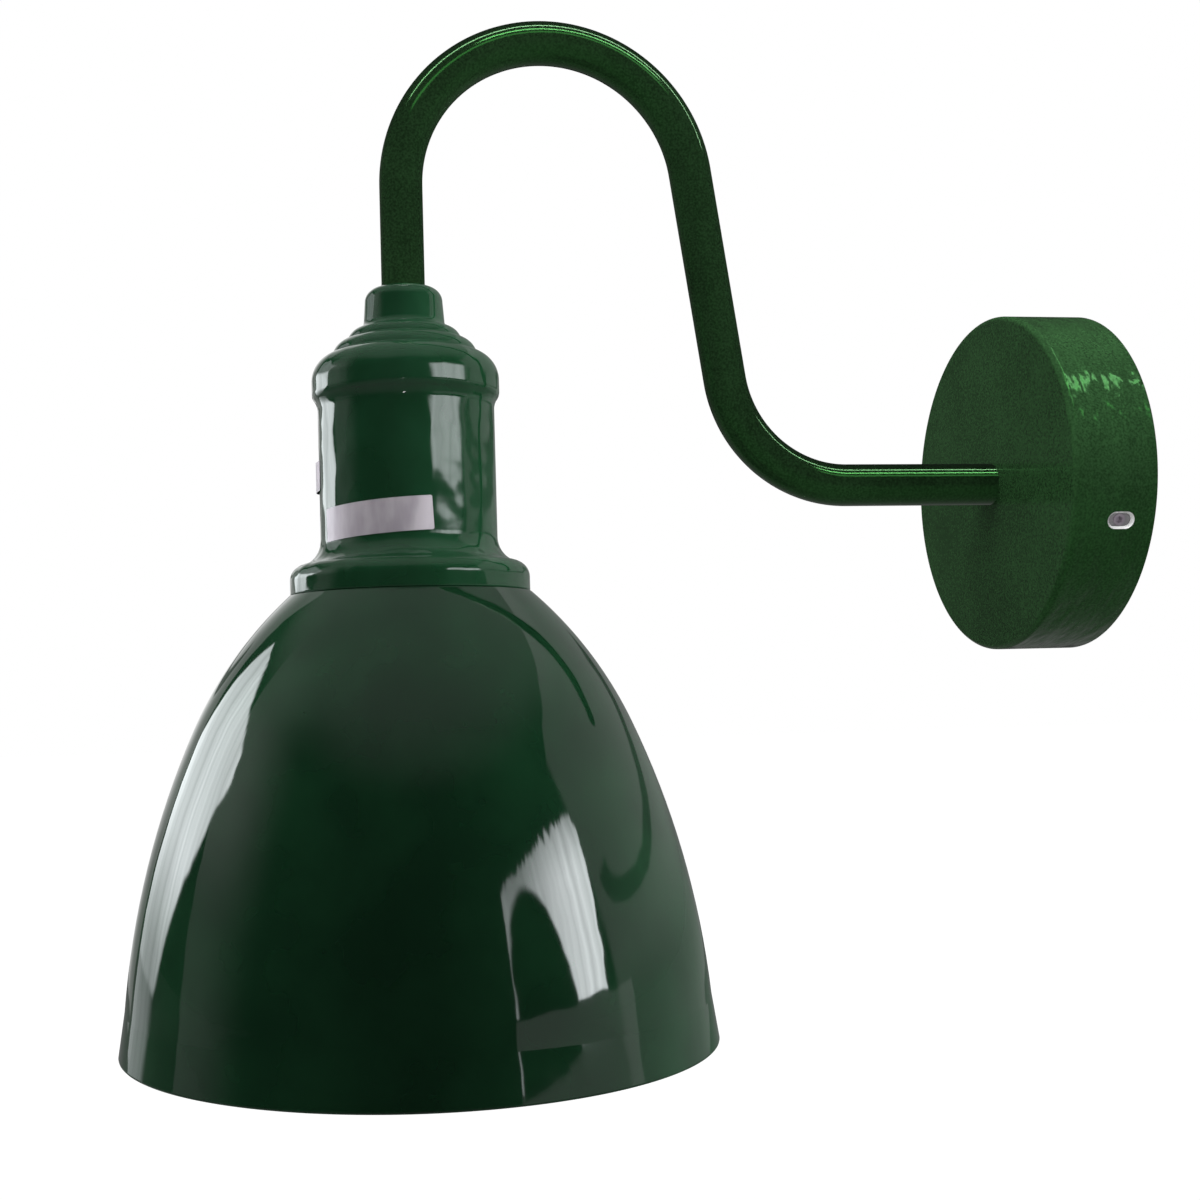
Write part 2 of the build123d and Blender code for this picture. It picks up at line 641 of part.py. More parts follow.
def holder_terminals():
    """Two brass terminal blocks on the core; the live one has a tail to the centre contact."""
    blocks = []
    for x in (-TERMINAL_X, TERMINAL_X):
        base = CORE_TOP + (BRIDGE_T if x < 0 else 0)
        block = bar(TERMINAL_W, TERMINAL_L, base, CORE_TOP + TERMINAL_H, x)
        block -= rod(WIRE_R + FIT_GAP, CORE_TOP + TERMINAL_H / 3, CORE_TOP + TERMINAL_H, x)
        block -= Pos(x, 0, terminal_screw_z()) * Rot(90, 0, 0) * Cylinder(
            TERMINAL_SCREW_R + THREAD_GAP, 2 * TERMINAL_L, align=BASE)
        blocks.append(block)
    return on_head(group(blocks))


def terminal_screw_z():
    return CORE_TOP + TERMINAL_H * 0.62


def holder_terminal_screws():
    """Clamping screws of the two lampholder terminals."""
    start = WIRE_R + THREAD_GAP
    screw = rod(TERMINAL_SCREW_R, start, TERMINAL_L / 2 + 1.0)
    head = rod(TERMINAL_SCREW_R * 1.5, TERMINAL_L / 2 + THREAD_GAP, TERMINAL_L / 2 + 1.5)
    head -= bar(TERMINAL_SCREW_R * 4, TERMINAL_SCREW_R / 3, TERMINAL_L / 2 + 0.9, TERMINAL_L / 2 + 1.5)
    solid = screw + head
    places = (-TERMINAL_X, TERMINAL_X)
    return on_head(group(Pos(x, 0, terminal_screw_z()) * Rot(90, 0, 0) * solid for x in places))


def holder_rivets():
    """Rivets that join each terminal to the underside of the core."""
    rivets = []
    for x in (-TERMINAL_X, TERMINAL_X):
        under = CORE_BOTTOM - (SHELL_T if x > 0 else 0)
        shank = rod(RIVET_R, under, CORE_TOP, x)
        rivets.append(shank + rod(RIVET_HEAD_R, under - RIVET_HEAD_H, under, x))
    return on_head(group(rivets))


def live_bridge():
    """Brass strip from the live terminal to the centre contact."""
    length = TERMINAL_X + BRIDGE_W / 2
    strip = bar(length, BRIDGE_W, CORE_TOP, CORE_TOP + BRIDGE_T, x=BRIDGE_W / 2 - length / 2)
    return on_head(strip - rod(CONTACT_STEM_R + FIT_GAP, CORE_TOP, CORE_TOP + BRIDGE_T))


def centre_contact():
    """Sprung plunger that meets the lamp's tip."""
    head_top = CORE_BOTTOM - CONTACT_STEM_OUT
    clip = CORE_TOP + BRIDGE_T + SEAT_GAP
    plunger = rod(CONTACT_HEAD_R, head_top - CONTACT_HEAD_H, head_top)
    plunger += rod(CONTACT_STEM_R, head_top, clip)
    return on_head(plunger + rod(CONTACT_CLIP_R, clip, clip + CONTACT_CLIP_H))


def contact_spring():
    """Coil spring round the plunger's stem."""
    low = CORE_BOTTOM - CONTACT_STEM_OUT + SPRING_WIRE_R + FIT_GAP
    span = CONTACT_STEM_OUT - 2 * (SPRING_WIRE_R + FIT_GAP)
    path = Helix(pitch=span / SPRING_TURNS, height=span, radius=SPRING_R, center=(0, 0, low))
    return on_head(sweep(Plane(origin=path @ 0, z_dir=path % 0) * Circle(SPRING_WIRE_R), path=path))


# ---------------------------------------------------------------- shade
def inward(point, direction, distance):
    """Point moved square to a direction of travel, to its right-hand side."""
    return Vector(point.X + direction.Y * distance, point.Y - direction.X * distance)


def shade_outline():
    """Closed half section of the shade, (radius, height above the seat)."""
    slope = math.radians(CROWN_SLOPE)
    crown = Vector(CROWN_R, CROWN_TOP)
    knee = Vector(KNEE_R, CROWN_TOP - KNEE_DEPTH)
    band = Vector(RIM_R - BAND_FLARE, CROWN_TOP - SHADE_DEPTH + BAND_H)
    rim = Vector(RIM_R, CROWN_TOP - SHADE_DEPTH)
    start = Vector(math.sin(slope), -math.cos(slope))
    dome = TangentArc(crown, knee, tangent=start)
    side = TangentArc(knee, band, tangent=dome % 1)
    down = (rim - band).normalized()
    turn = dome % 1
    inner_crown = inward(crown, start, SHADE_T)
    inner_knee = inward(knee, turn, SHADE_T)
    inner_band = inward(band, side % 1, SHADE_T)
    inner_rim = inward(rim, down, SHADE_T)
    with BuildLine() as line:
        add(dome)
        add(side)
        Line(band, rim)
        Line(rim, Vector(inner_rim.X, rim.Y))
        Line(Vector(inner_rim.X, rim.Y), inner_band)
        TangentArc(inner_knee, inner_band, tangent=turn)
        TangentArc(inner_crown, inner_knee, tangent=start)
        Polyline(
            inner_crown, Vector(inner_crown.X, CROWN_BOTTOM), Vector(SHADE_HOLE_R, CROWN_BOTTOM),
            Vector(SHADE_HOLE_R, CROWN_TOP), crown)
    return line.line


def shade():
    """Spun bell shade with a flat crown clamped under the cup."""
    return on_head(spun(shade_outline()))


def shade_ring():
    """Grip ring, threaded on the lampholder's skirt."""
    top = CROWN_BOTTOM - SEAT_GAP
    ring = pipe(RING_R, SKIRT_R + SLIDE_GAP, top - RING_H, top)
    notch = rod(RING_NOTCH_R, top - RING_H, top - RING_H / 4, x=RING_R + RING_NOTCH_R / 3)
    for turn in range(RING_NOTCHES):
        ring -= Rot(0, 0, turn * 360 / RING_NOTCHES) * notch
    return on_head(ring)


# ---------------------------------------------------------------- wires
def core_wire(side):
    """One insulated core, from the terminal block through the arm to the lampholder."""
    x = side * WIRE_SIDE
    pole_x = side * POLE_PITCH
    lamp_x = side * TERMINAL_X
    high = SEAT_Z + ROD_BOTTOM
    low = SEAT_Z + CORE_TOP + TERMINAL_H / 3
    rose_end = FilletPolyline(
        (pole_x, -POLE_DEPTH, BLOCK_Z + INSERT_BORE_R), (pole_x, -POLE_DEPTH, WIRE_LOOP_Z),
        (2 * x, -POLE_DEPTH, WIRE_LOOP_Z), (x, -POLE_DEPTH, 0), (x, -ROSE_DEPTH, 0),
        radius=[WIRE_TIGHT_BEND, WIRE_TIGHT_BEND, WIRE_BEND])
    middle = arm_path(high + WIRE_BEND, x)
    drop = high - low
    lamp_end = FilletPolyline(
        (x, -REACH, high + WIRE_BEND), (x, -REACH, high - drop * 0.18), (lamp_x, -REACH, low + drop * 0.42),
        (lamp_x, -REACH, low + FIT_GAP), radius=[WIRE_TIGHT_BEND, WIRE_TIGHT_BEND])
    path = Wire(rose_end.edges() + middle.edges() + lamp_end.edges())
    return along(path, WIRE_R)


def earth_wire():
    """Earth core, from the lug to the middle pole."""
    depth = BAR_T + LUG_BARREL_R
    top = BLOCK_Z - LUG_R + 1.0 - LUG_BARREL_LEN / 2
    path = FilletPolyline(
        (EARTH_X, -depth, top), (EARTH_X, -depth, EARTH_LOOP_Z), (0, -POLE_DEPTH, EARTH_LOOP_Z),
        (0, -POLE_DEPTH, BLOCK_Z - INSERT_BORE_R), radius=[WIRE_BEND, WIRE_BEND])
    return along(Wire(path.edges()), WIRE_R)


# ---------------------------------------------------------------- write the parts
PIECES = {
    "canopy": canopy,
    "wall_bracket": wall_bracket,
    "canopy_set_screws": canopy_set_screws,
    "terminal_block": terminal_block,
    "terminal_inserts": terminal_inserts,
    "terminal_clamp_screws": terminal_clamp_screws,
    "terminal_fixing_screws": terminal_fixing_screws,
    "earth_lug": earth_lug,
    "earth_screw": earth_screw,
    "arm_tube": arm_tube,
    "arm_wall_stud": arm_wall_stud,
    "arm_washer": arm_washer,
    "arm_nut": arm_nut,
    "cable_bush": cable_bush,
    "arm_lamp_plug": arm_lamp_plug,
    "hollow_rod": hollow_rod,
    "socket_cup": socket_cup,
    "cup_washer": cup_washer,
    "cup_nut": cup_nut,
    "rating_label": lambda: label(LABEL_H, LABEL_FOOT, LABEL_FROM, LABEL_TO),
    "side_label": lambda: label(SIDE_LABEL_H, SIDE_LABEL_FOOT, SIDE_LABEL_FROM, SIDE_LABEL_TO),
    "holder_cap": holder_cap,
    "holder_grub_screw": holder_grub_screw,
    "holder_skirt": holder_skirt,
    "holder_core": holder_core,
    "screw_shell": screw_shell,
    "holder_terminals": holder_terminals,
    "holder_terminal_screws": holder_terminal_screws,
    "holder_rivets": holder_rivets,
    "live_bridge": live_bridge,
    "centre_contact": centre_contact,
    "contact_spring": contact_spring,
    "shade": shade,
    "shade_ring": shade_ring,
    "wire_live": lambda: core_wire(-1),
    "wire_neutral": lambda: core_wire(1),
    "wire_earth": earth_wire,
}


def main():
    os.makedirs("parts", exist_ok=True)
    for name, build in PIECES.items():
        export_step(build(), f"parts/{name}.step")
        print("wrote", name)


main()
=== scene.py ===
# %% [markdown]
# # A swan-neck wall light
# A pressed steel rose stands on the wall, a bent tube leaves it, climbs, turns over in an arch and drops
# into a stepped cup, and a bell shade hangs under the cup. The arm and rose are powder coated, the cup
# and shade are stoved in deep bottle-green gloss. Each step below says what a piece is on the real
# light, how it could be made in Blender, and why one way was chosen.

# %% [markdown]
# ## The fixed frame
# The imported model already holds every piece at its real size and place, in metres. It could be restyled
# only with materials, but its surfaces are loose flat triangles, and a gloss enamel would show each one.
# So the frame is kept for its sizes and places, and the pieces that are seen closely are turned again as
# smooth meshes around them.

# %% Load the frame
import json
import math

import bmesh
import bpy
from mathutils import Matrix, Vector

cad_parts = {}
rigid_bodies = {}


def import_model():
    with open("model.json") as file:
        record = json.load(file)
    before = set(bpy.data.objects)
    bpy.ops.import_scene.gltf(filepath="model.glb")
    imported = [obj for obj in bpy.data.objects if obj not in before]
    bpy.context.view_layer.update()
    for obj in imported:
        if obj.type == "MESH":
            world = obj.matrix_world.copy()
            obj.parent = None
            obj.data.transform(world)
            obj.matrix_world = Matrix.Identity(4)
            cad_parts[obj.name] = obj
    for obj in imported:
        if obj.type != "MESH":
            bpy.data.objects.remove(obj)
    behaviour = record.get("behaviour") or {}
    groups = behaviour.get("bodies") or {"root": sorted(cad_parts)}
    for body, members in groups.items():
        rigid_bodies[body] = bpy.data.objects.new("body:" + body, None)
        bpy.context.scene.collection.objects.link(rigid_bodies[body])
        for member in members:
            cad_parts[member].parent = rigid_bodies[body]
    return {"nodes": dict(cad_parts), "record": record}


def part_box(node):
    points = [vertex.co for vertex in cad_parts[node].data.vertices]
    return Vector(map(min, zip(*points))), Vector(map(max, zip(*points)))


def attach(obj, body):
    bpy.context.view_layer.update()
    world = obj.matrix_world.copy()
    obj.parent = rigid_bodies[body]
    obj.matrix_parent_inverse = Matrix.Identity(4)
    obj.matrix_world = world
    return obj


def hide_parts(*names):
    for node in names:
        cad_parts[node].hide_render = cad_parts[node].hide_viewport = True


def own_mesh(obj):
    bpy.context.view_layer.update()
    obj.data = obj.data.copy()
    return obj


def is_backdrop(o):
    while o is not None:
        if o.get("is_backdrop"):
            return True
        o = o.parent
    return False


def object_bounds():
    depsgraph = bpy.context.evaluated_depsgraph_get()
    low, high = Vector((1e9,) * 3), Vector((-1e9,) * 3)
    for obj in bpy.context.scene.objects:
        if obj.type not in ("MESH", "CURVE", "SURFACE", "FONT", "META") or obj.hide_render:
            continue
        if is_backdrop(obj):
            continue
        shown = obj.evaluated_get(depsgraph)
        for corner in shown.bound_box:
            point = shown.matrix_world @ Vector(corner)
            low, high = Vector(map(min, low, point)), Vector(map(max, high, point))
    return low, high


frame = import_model()
cad_box = [list(corner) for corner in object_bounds()]

# %% [markdown]
# ## The camera
# The photograph looks along the wall, a little from the room side and a hand's width below the cup. The
# camera's turn, tilt and roll were found from the ellipses of the rim, the flange and the rose. Three
# turns in a row give that pose, and a small lens shift gives the picture's framing, because the lens
# axis doesn't meet the picture in its middle.

# %% Camera
CAMERA_PLACE = Vector((0.5478, -0.3033, -0.0713))
CAMERA_TURN, CAMERA_TILT, CAMERA_ROLL = 81.171, 2.447, -1.471    # degrees
FOCAL_RATIO = 1.3427                                             # focal length over sensor width
FRAME_SHIFT = (0.1, 0.0208)
CLIP_START = 0.01                                                # metres


def turn(degrees, axis):
    """Rotation matrix about a named axis."""
    return Matrix.Rotation(math.radians(degrees), 4, axis)


def add_camera():
    """The scene's camera, at the photograph's place and angle."""
    lens = bpy.data.cameras.new("camera")
    lens.lens = FOCAL_RATIO * lens.sensor_width
    lens.shift_x, lens.shift_y = FRAME_SHIFT
    lens.clip_start = CLIP_START
    camera = bpy.data.objects.new("camera", lens)
    aim = turn(CAMERA_TURN, "Z") @ turn(90 + CAMERA_TILT, "X") @ turn(CAMERA_ROLL, "Z")
    camera.matrix_world = Matrix.Translation(CAMERA_PLACE) @ aim
    bpy.context.scene.collection.objects.link(camera)
    bpy.context.scene.camera = camera
    return camera


print("camera:", [round(value, 3) for value in add_camera().location])

# %% [markdown]
# ## Sizes from the frame
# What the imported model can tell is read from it: the lamp's axis, the height of the shade's seat, the
# radii of rose, flange and rim. The few shapes that a box can't tell, such as the rise of each step of the
# cup, are named here in millimetres and used through one factor.

# %% Sizes
MM = 0.001
rose_low, rose_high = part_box("canopy")
cup_low, cup_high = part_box("socket_cup")
shade_low, shade_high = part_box("shade")
tube_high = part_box("arm_tube")[1]
AXIS_Y = (shade_low.y + shade_high.y) / 2
SEAT_Z = cup_low.z
ROSE_R = rose_high.x
ROSE_DEPTH = -rose_low.y
FLANGE_R = cup_high.x
RIM_R = shade_high.x
TUBE_R = tube_high.x
SHADE_TOP = shade_high.z - SEAT_Z
SHADE_RIM = shade_low.z - SEAT_Z
CUP_TOP = cup_high.z - SEAT_Z
ARCH_TOP = tube_high.z
HEAD = Matrix.Translation((0, AXIS_Y, SEAT_Z))        # height above the shade's seat, on the lamp's axis
print("reach %.1f mm, rim %.0f mm, rose %.0f mm" % (-AXIS_Y / MM, 2 * RIM_R / MM, 2 * ROSE_R / MM))

# %% [markdown]
# ## Shader maths as plain Python
# A finish is a small sum: a colour, plus a little noise, plus some grain. In the node editor that is a
# web of Math nodes. Here one class wraps a socket, so `1 - mask * 0.3` adds the Math nodes by itself, and
# one method, `node`, adds any other node from its type, its settings and its sockets' values.

# %% The socket class
class Field:
    """A value inside a node tree; Python's operators on it add Math nodes. A start has no socket yet."""

    def __init__(self, tree, socket=None):
        self.tree = tree
        self.socket = socket

    def node(self, kind, settings=None, sockets=None, out=0):
        """Add a node: its settings first, then the values or links of its sockets."""
        made = self.tree.nodes.new(kind)
        for name, setting in (settings or {}).items():
            setattr(made, name, setting)
        for name, value in (sockets or {}).items():
            plug(self.tree, made.inputs[name], value)
        return Field(self.tree, made.outputs[out])

    def maths(self, operation, first, second):
        """A Math node on two values."""
        return self.node("ShaderNodeMath", {"operation": operation}, {0: first, 1: second})

    def __add__(self, other):
        return self.maths("ADD", self, other)

    def __radd__(self, other):
        return self.maths("ADD", other, self)

    def __sub__(self, other):
        return self.maths("SUBTRACT", self, other)

    def __rsub__(self, other):
        return self.maths("SUBTRACT", other, self)

    def __mul__(self, other):
        return self.maths("MULTIPLY", self, other)

    def __rmul__(self, other):
        return self.maths("MULTIPLY", other, self)

    def __truediv__(self, other):
        return self.maths("DIVIDE", self, other)

    def __abs__(self):
        return self.maths("ABSOLUTE", self, 0.0)

    def smooth(self, low, high):
        """0 below low, 1 above high, eased between."""
        settings = {"interpolation_type": "SMOOTHSTEP"}
        return self.node("ShaderNodeMapRange", settings, {"Value": self, "From Min": low, "From Max": high})

    def mix(self, first, second):
        """Colour between two colours, by this value."""
        return self.node("ShaderNodeMix", {"data_type": "RGBA"}, {0: self, 6: first, 7: second}, out=2)

    def noise(self, scale, detail=2.0):
        """Soft noise of 0 to 1 over these coordinates: waves per metre, and finer waves on them."""
        return self.node("ShaderNodeTexNoise", {}, {"Vector": self, "Scale": scale, "Detail": detail})

    def stretched(self, x=1.0, y=1.0, z=1.0):
        """These coordinates, scaled along each axis."""
        return self.node("ShaderNodeMapping", {}, {"Vector": self, "Scale": (x, y, z)})

    def centred(self, place):
        """These coordinates, counted from a place in the frame."""
        return self.node("ShaderNodeVectorMath", {"operation": "SUBTRACT"}, {0: self, 1: tuple(place)})

    def bump(self, height):
        """Surface normal from a height in metres."""
        return self.node("ShaderNodeBump", {}, {"Height": height, "Strength": 1.0, "Distance": 1.0})


def plug(tree, socket, value):
    """Link a field to a socket, or set a plain value on it."""
    if isinstance(value, Field):
        tree.links.new(value.socket, socket)
    else:
        socket.default_value = value


print("Field adds Math nodes for + - * /")

# %% [markdown]
# Every finish starts the same way, with a Principled shader and Object coordinates, which are metres in
# the shared frame. So a noise's scale is its waves per metre, and the height of a bump is in metres too.
# Colours are written as the 0 to 255 values that a paint card would give, and turned into the linear
# values that the shader works in.

# %% Starting a finish
NOISE_SPAN = (0.3, 0.7)    # most of a noise's values lie between these


def linear(value):
    """Linear light of a 0 to 255 value, by the sRGB standard's own numbers."""
    value = value / 255
    return value / 12.92 if value <= 0.04045 else ((value + 0.055) / 1.055) ** 2.4


def paint(red, green, blue):
    """Linear colour from 0 to 255 values."""
    return (linear(red), linear(green), linear(blue), 1.0)


class Finish:
    """A new material: `place` is its Object coordinates, and `wear` sets the shader's sockets."""

    def __init__(self, name):
        self.material = bpy.data.materials.new(name)
        self.material.use_nodes = True
        self.tree = self.material.node_tree
        self.shader = self.tree.nodes["Principled BSDF"]
        self.place = Field(self.tree).node("ShaderNodeTexCoord", out="Object")

    def wear(self, **sockets):
        """Base_Color=..., Roughness=... set or link the shader's sockets of those names."""
        for name, value in sockets.items():
            plug(self.tree, self.shader.inputs[name.replace("_", " ")], value)
        return self.material


print("a paint card value of 128 is %.3f in linear light" % linear(128))

# %% [markdown]
# ## Bottle-green enamel
# The cup and shade are sprayed with a wet gloss and stoved. The colour is very dark; what is seen is
# mostly the room in it. Wet paint draws itself nearly flat but keeps a faint orange peel, a few
# millimetres from wave to wave, and that is what makes the edges of each reflection wander. Waves in the
# mesh could do that, but on the shade they are hundredths of a millimetre high, so a bump is enough. The
# cup is a rough casting with higher waves. The colour varies only a little, where the coat is thicker.

# %% Enamel
SPRAYED = (paint(13, 42, 24), paint(19, 52, 31))     # thick and thin coats of green
CAST = (paint(14, 44, 25), paint(20, 53, 33))        # the same on the cup
COAT_SCALE, HAZE_SCALE, PEEL_SCALE, RIPPLE_SCALE = 38, 90, 230, 110
HAZE = 0.03                                          # roughness that dust and wiping add


def enamel(name, coats, gloss, peel, ripple):
    """Gloss enamel: its least roughness, the height of its orange peel and of its longer waves."""
    finish = Finish(name)
    place = finish.place
    coat = place.noise(COAT_SCALE, 3).smooth(0.3, 0.75)
    waves = place.stretched(1, 1, 0.6).noise(RIPPLE_SCALE, 1)
    return finish.wear(
        Base_Color=coat.mix(*coats),
        Roughness=gloss + place.noise(HAZE_SCALE, 3) * HAZE,
        Normal=place.bump(place.noise(PEEL_SCALE, 1) * peel + waves * ripple))


shade_enamel = enamel("bottle_green_enamel", SPRAYED, gloss=0.03, peel=4e-6, ripple=6e-5)
cup_enamel = enamel("bottle_green_enamel_cast", CAST, gloss=0.07, peel=1.6e-5, ripple=6e-4)
print("enamel:", shade_enamel.name, "and", cup_enamel.name)

# %% [markdown]
# ## Green powder coat
# The arm and the rose are yellower and less glossy. Powder melts into a skin that is full of fine
# grain: it breaks the light lines into sparkle and gives the colour a faint salt-and-pepper. Grain in the
# colour alone would look printed, so the same noise drives colour, roughness and bump. The tint of the
# highlights is set once on the shader, because they are green on the real coat. The pressed side of the
# rose has slow waves too, which break a lamp's line into short strokes. Its flat face has none.

# %% Powder coat
TUBE_COATS = (paint(23, 41, 23), paint(38, 65, 38))  # troughs and crests of the grain
ROSE_COATS = (paint(29, 52, 29), paint(46, 80, 46))
POWDER_SHINE = (0.12, 1.0, 0.13, 1.0)
GRAIN_SCALE, CLOUD_SCALE, WAVE_SCALE = 1300, 45, 60
WAVE_STRETCH = (1, 2.4, 1)                           # the waves are shorter away from the wall
GRAIN_SHARE = 0.75                                   # of the colour's change; clouds are the rest
POWDER_ROUGH, POWDER_SPREAD = 0.07, 0.08
GRAIN_H, WAVE_H = 0.006 * MM, 1.6 * MM
FLAT_FACE, WAVES_START = 0.4 * MM - ROSE_DEPTH, 2.4 * MM - ROSE_DEPTH


def pressed_waves(place):
    """Height of the waves in the rose's side, which fade out before its flat face."""
    from_wall = place.node("ShaderNodeSeparateXYZ", {}, {"Vector": place}, out="Y")
    waves = place.stretched(*WAVE_STRETCH).noise(WAVE_SCALE, 2.5)
    return waves * from_wall.smooth(FLAT_FACE, WAVES_START) * WAVE_H


def powder_coat(name, coats, waves=None):
    """Powder coat, with a function that gives the height of slow waves where there are any."""
    finish = Finish(name)
    place = finish.place
    grain = place.noise(GRAIN_SCALE, 2)
    cloud = place.noise(CLOUD_SCALE, 4)
    height = grain * GRAIN_H
    if waves is not None:
        height = height + waves(place)
    return finish.wear(
        Base_Color=(grain * GRAIN_SHARE + cloud * (1 - GRAIN_SHARE)).smooth(*NOISE_SPAN).mix(*coats),
        Roughness=POWDER_ROUGH + grain * POWDER_SPREAD,
        Specular_Tint=POWDER_SHINE,
        Normal=place.bump(height))


arm_powder = powder_coat("green_powder_coat", TUBE_COATS)
rose_powder = powder_coat("green_powder_coat_pressed", ROSE_COATS, pressed_waves)
print("powder coat:", arm_powder.name, "and", rose_powder.name)

# %% [markdown]
# ## White inside
# The inside of the shade is sprayed white to throw the light down. One flat white would look like
# plastic. White enamel is never quite even, so its warmth and its gloss both drift a little.

# %% White enamel
WARM_WHITE, CLEAN_WHITE = paint(232, 230, 222), paint(241, 240, 235)
WARMTH_SCALE, SHEEN_SCALE, WHITE_PEEL_SCALE = 25, 70, 220
WHITE_ROUGH, WHITE_SPREAD = 0.22, 0.1
WHITE_PEEL_H = 0.01 * MM


def white_enamel():
    """Warm white gloss for the inside of the shade."""
    finish = Finish("white_enamel")
    place = finish.place
    return finish.wear(
        Base_Color=place.noise(WARMTH_SCALE, 3).smooth(0.3, 0.8).mix(WARM_WHITE, CLEAN_WHITE),
        Roughness=WHITE_ROUGH + place.noise(SHEEN_SCALE, 2) * WHITE_SPREAD,
        Normal=place.bump(place.noise(WHITE_PEEL_SCALE, 1) * WHITE_PEEL_H))


inside_white = white_enamel()
print("inside:", inside_white.name)

# %% [markdown]
# ## Metals
# Bright zinc plate is nearly even, with a faint cloudy passivation, and brass is a little tarnished where
# noise says so. Each could have its own function, but they differ only in two colours and a roughness. The
# strap, the set screws and the slots' edges have a chalky zinc, which is only a little metallic: in so
# small a slot a full metal would just mirror the dark. The slots' edges are also painted near white, a
# painted highlight that keeps them bright all round.

# %% Metals
PLATE_CLOUD_SCALE, SCRATCH_SCALE = 160, 1800
CLOUD_SPREAD = 0.12        # how much rougher the clouds are
SCRATCH_H = 0.002 * MM


def plated(name, dull, bright, rough, metallic=1.0):
    """Plated or bare metal with a cloudy surface and fine scratches."""
    finish = Finish(name)
    cloud = finish.place.noise(PLATE_CLOUD_SCALE, 4)
    return finish.wear(
        Base_Color=cloud.smooth(0.35, 0.7).mix(dull, bright),
        Metallic=metallic,
        Roughness=rough + cloud * CLOUD_SPREAD,
        Normal=finish.place.bump(finish.place.noise(SCRATCH_SCALE, 2) * SCRATCH_H))


bright_zinc = plated("bright_zinc_plate", paint(176, 178, 184), paint(214, 214, 212), 0.2)
brass = plated("brass", paint(186, 148, 72), paint(222, 188, 104), 0.16)
# the slots' punched edge: bare metal, painted near white as a highlight that stays bright all round
bare_edge_and_highlight = plated("punched_edge_and_painted_highlight", paint(248, 249, 248), paint(255, 255, 255), 0.35, 0.1)
dull_zinc = plated("dull_zinc_plate", paint(166, 155, 167), paint(187, 177, 188), 0.4, 0.2)
strap_zinc = plated("zinc_strap", paint(150, 148, 151), paint(182, 180, 183), 0.4, 0.2)
print("metals:", bright_zinc.name, brass.name, strap_zinc.name)

# %% [markdown]
# ## Plastics, ceramic, foil and sleeves
# A material could be written for each piece, but one function serves every moulded one: a colour, its gloss
# and the depth of its fine texture. The steatite core gets dark specks, and the foil labels get creases,
# which run up and down because the foil was pulled round the cup.

# %% Plastics and the rest
TONE_SCALE, DULL_SCALE, TEXTURE_SCALE = 120, 600, 1400
DULL_SPREAD = 0.1
SPECK_SCALE, SPECKS = 1700, (0.68, 0.74)             # only the peaks of this noise are specks
GRIT_SCALE, GRIT_H = 500, 0.02 * MM
CREASE_SCALE, CREASE_H = 130, 0.06 * MM
FOIL_GRAIN_SCALE, FOIL_GRAIN_H = 900, 0.004 * MM


def moulded(name, dark, light, rough, texture):
    """A moulded piece, from two near colours, its least roughness and its texture's height."""
    finish = Finish(name)
    place = finish.place
    return finish.wear(
        Base_Color=place.noise(TONE_SCALE, 3).smooth(*NOISE_SPAN).mix(dark, light),
        Roughness=rough + place.noise(DULL_SCALE, 2) * DULL_SPREAD,
        Normal=place.bump(place.noise(TEXTURE_SCALE, 2) * texture))


def steatite():
    """Unglazed ceramic with dark specks."""
    finish = Finish("steatite")
    place = finish.place
    speck = place.noise(SPECK_SCALE, 1).smooth(*SPECKS)
    return finish.wear(
        Base_Color=speck.mix(paint(228, 225, 214), paint(150, 144, 132)),
        Roughness=0.55 + place.noise(300, 2) * 0.2,
        Normal=place.bump(place.noise(GRIT_SCALE, 3) * GRIT_H))


def label_foil():
    """Blank metallised foil with upright creases."""
    finish = Finish("blank_foil")
    place = finish.place
    crease = place.stretched(1, 1, 0.35).noise(CREASE_SCALE, 3)
    return finish.wear(
        Base_Color=crease.smooth(*NOISE_SPAN).mix(paint(150, 144, 152), paint(180, 174, 181)),
        Metallic=0.4,
        Roughness=0.42 + crease * 0.12,
        Normal=place.bump(crease * CREASE_H + place.noise(FOIL_GRAIN_SCALE, 1) * FOIL_GRAIN_H))


black_resin = moulded("black_resin", paint(17, 17, 18), paint(27, 27, 28), 0.28, 6e-6)
natural_nylon = moulded("natural_nylon", paint(222, 219, 206), paint(236, 234, 224), 0.42, 8e-6)
steatite_core = steatite()
foil = label_foil()
SLEEVES = {
    "brown_sleeve": moulded("brown_sleeve", paint(88, 49, 26), paint(104, 60, 33), 0.38, 8e-6),
    "blue_sleeve": moulded("blue_sleeve", paint(30, 86, 160), paint(38, 99, 178), 0.38, 8e-6),
    "earth_sleeve": moulded("earth_sleeve", paint(58, 138, 44), paint(196, 188, 40), 0.38, 8e-6)}
print("moulded and sleeved finishes:", black_resin.name, natural_nylon.name, *SLEEVES)

# %% [markdown]
# ## The lathe
# The shade, the cup, the rose and most small pieces are round: on the real light they are spun, cast or
# pressed over a round former. A lathe template says all of it. The template could be a list of points,
# but here it is drawn: a single vertex is extruded along straight runs and spun about the centre of each
# arc, so every round stretch is a true arc. A full spin about the lamp's axis then makes the skin.

# %% Lathe template
ARC_STEP = 3.0            # degrees of arc from point to point
SMALL_STEP = 15           # the same on rounds of about half a millimetre
EDGE_STEP = 30            # and on the edges of a sheet
HOLD = 0.3 * MM           # how far from a run's end its inner point stands
WELD = 1e-7               # points nearer than this are one
TURN_STEPS = 192
FINE_TURN = 256           # for the wide pieces


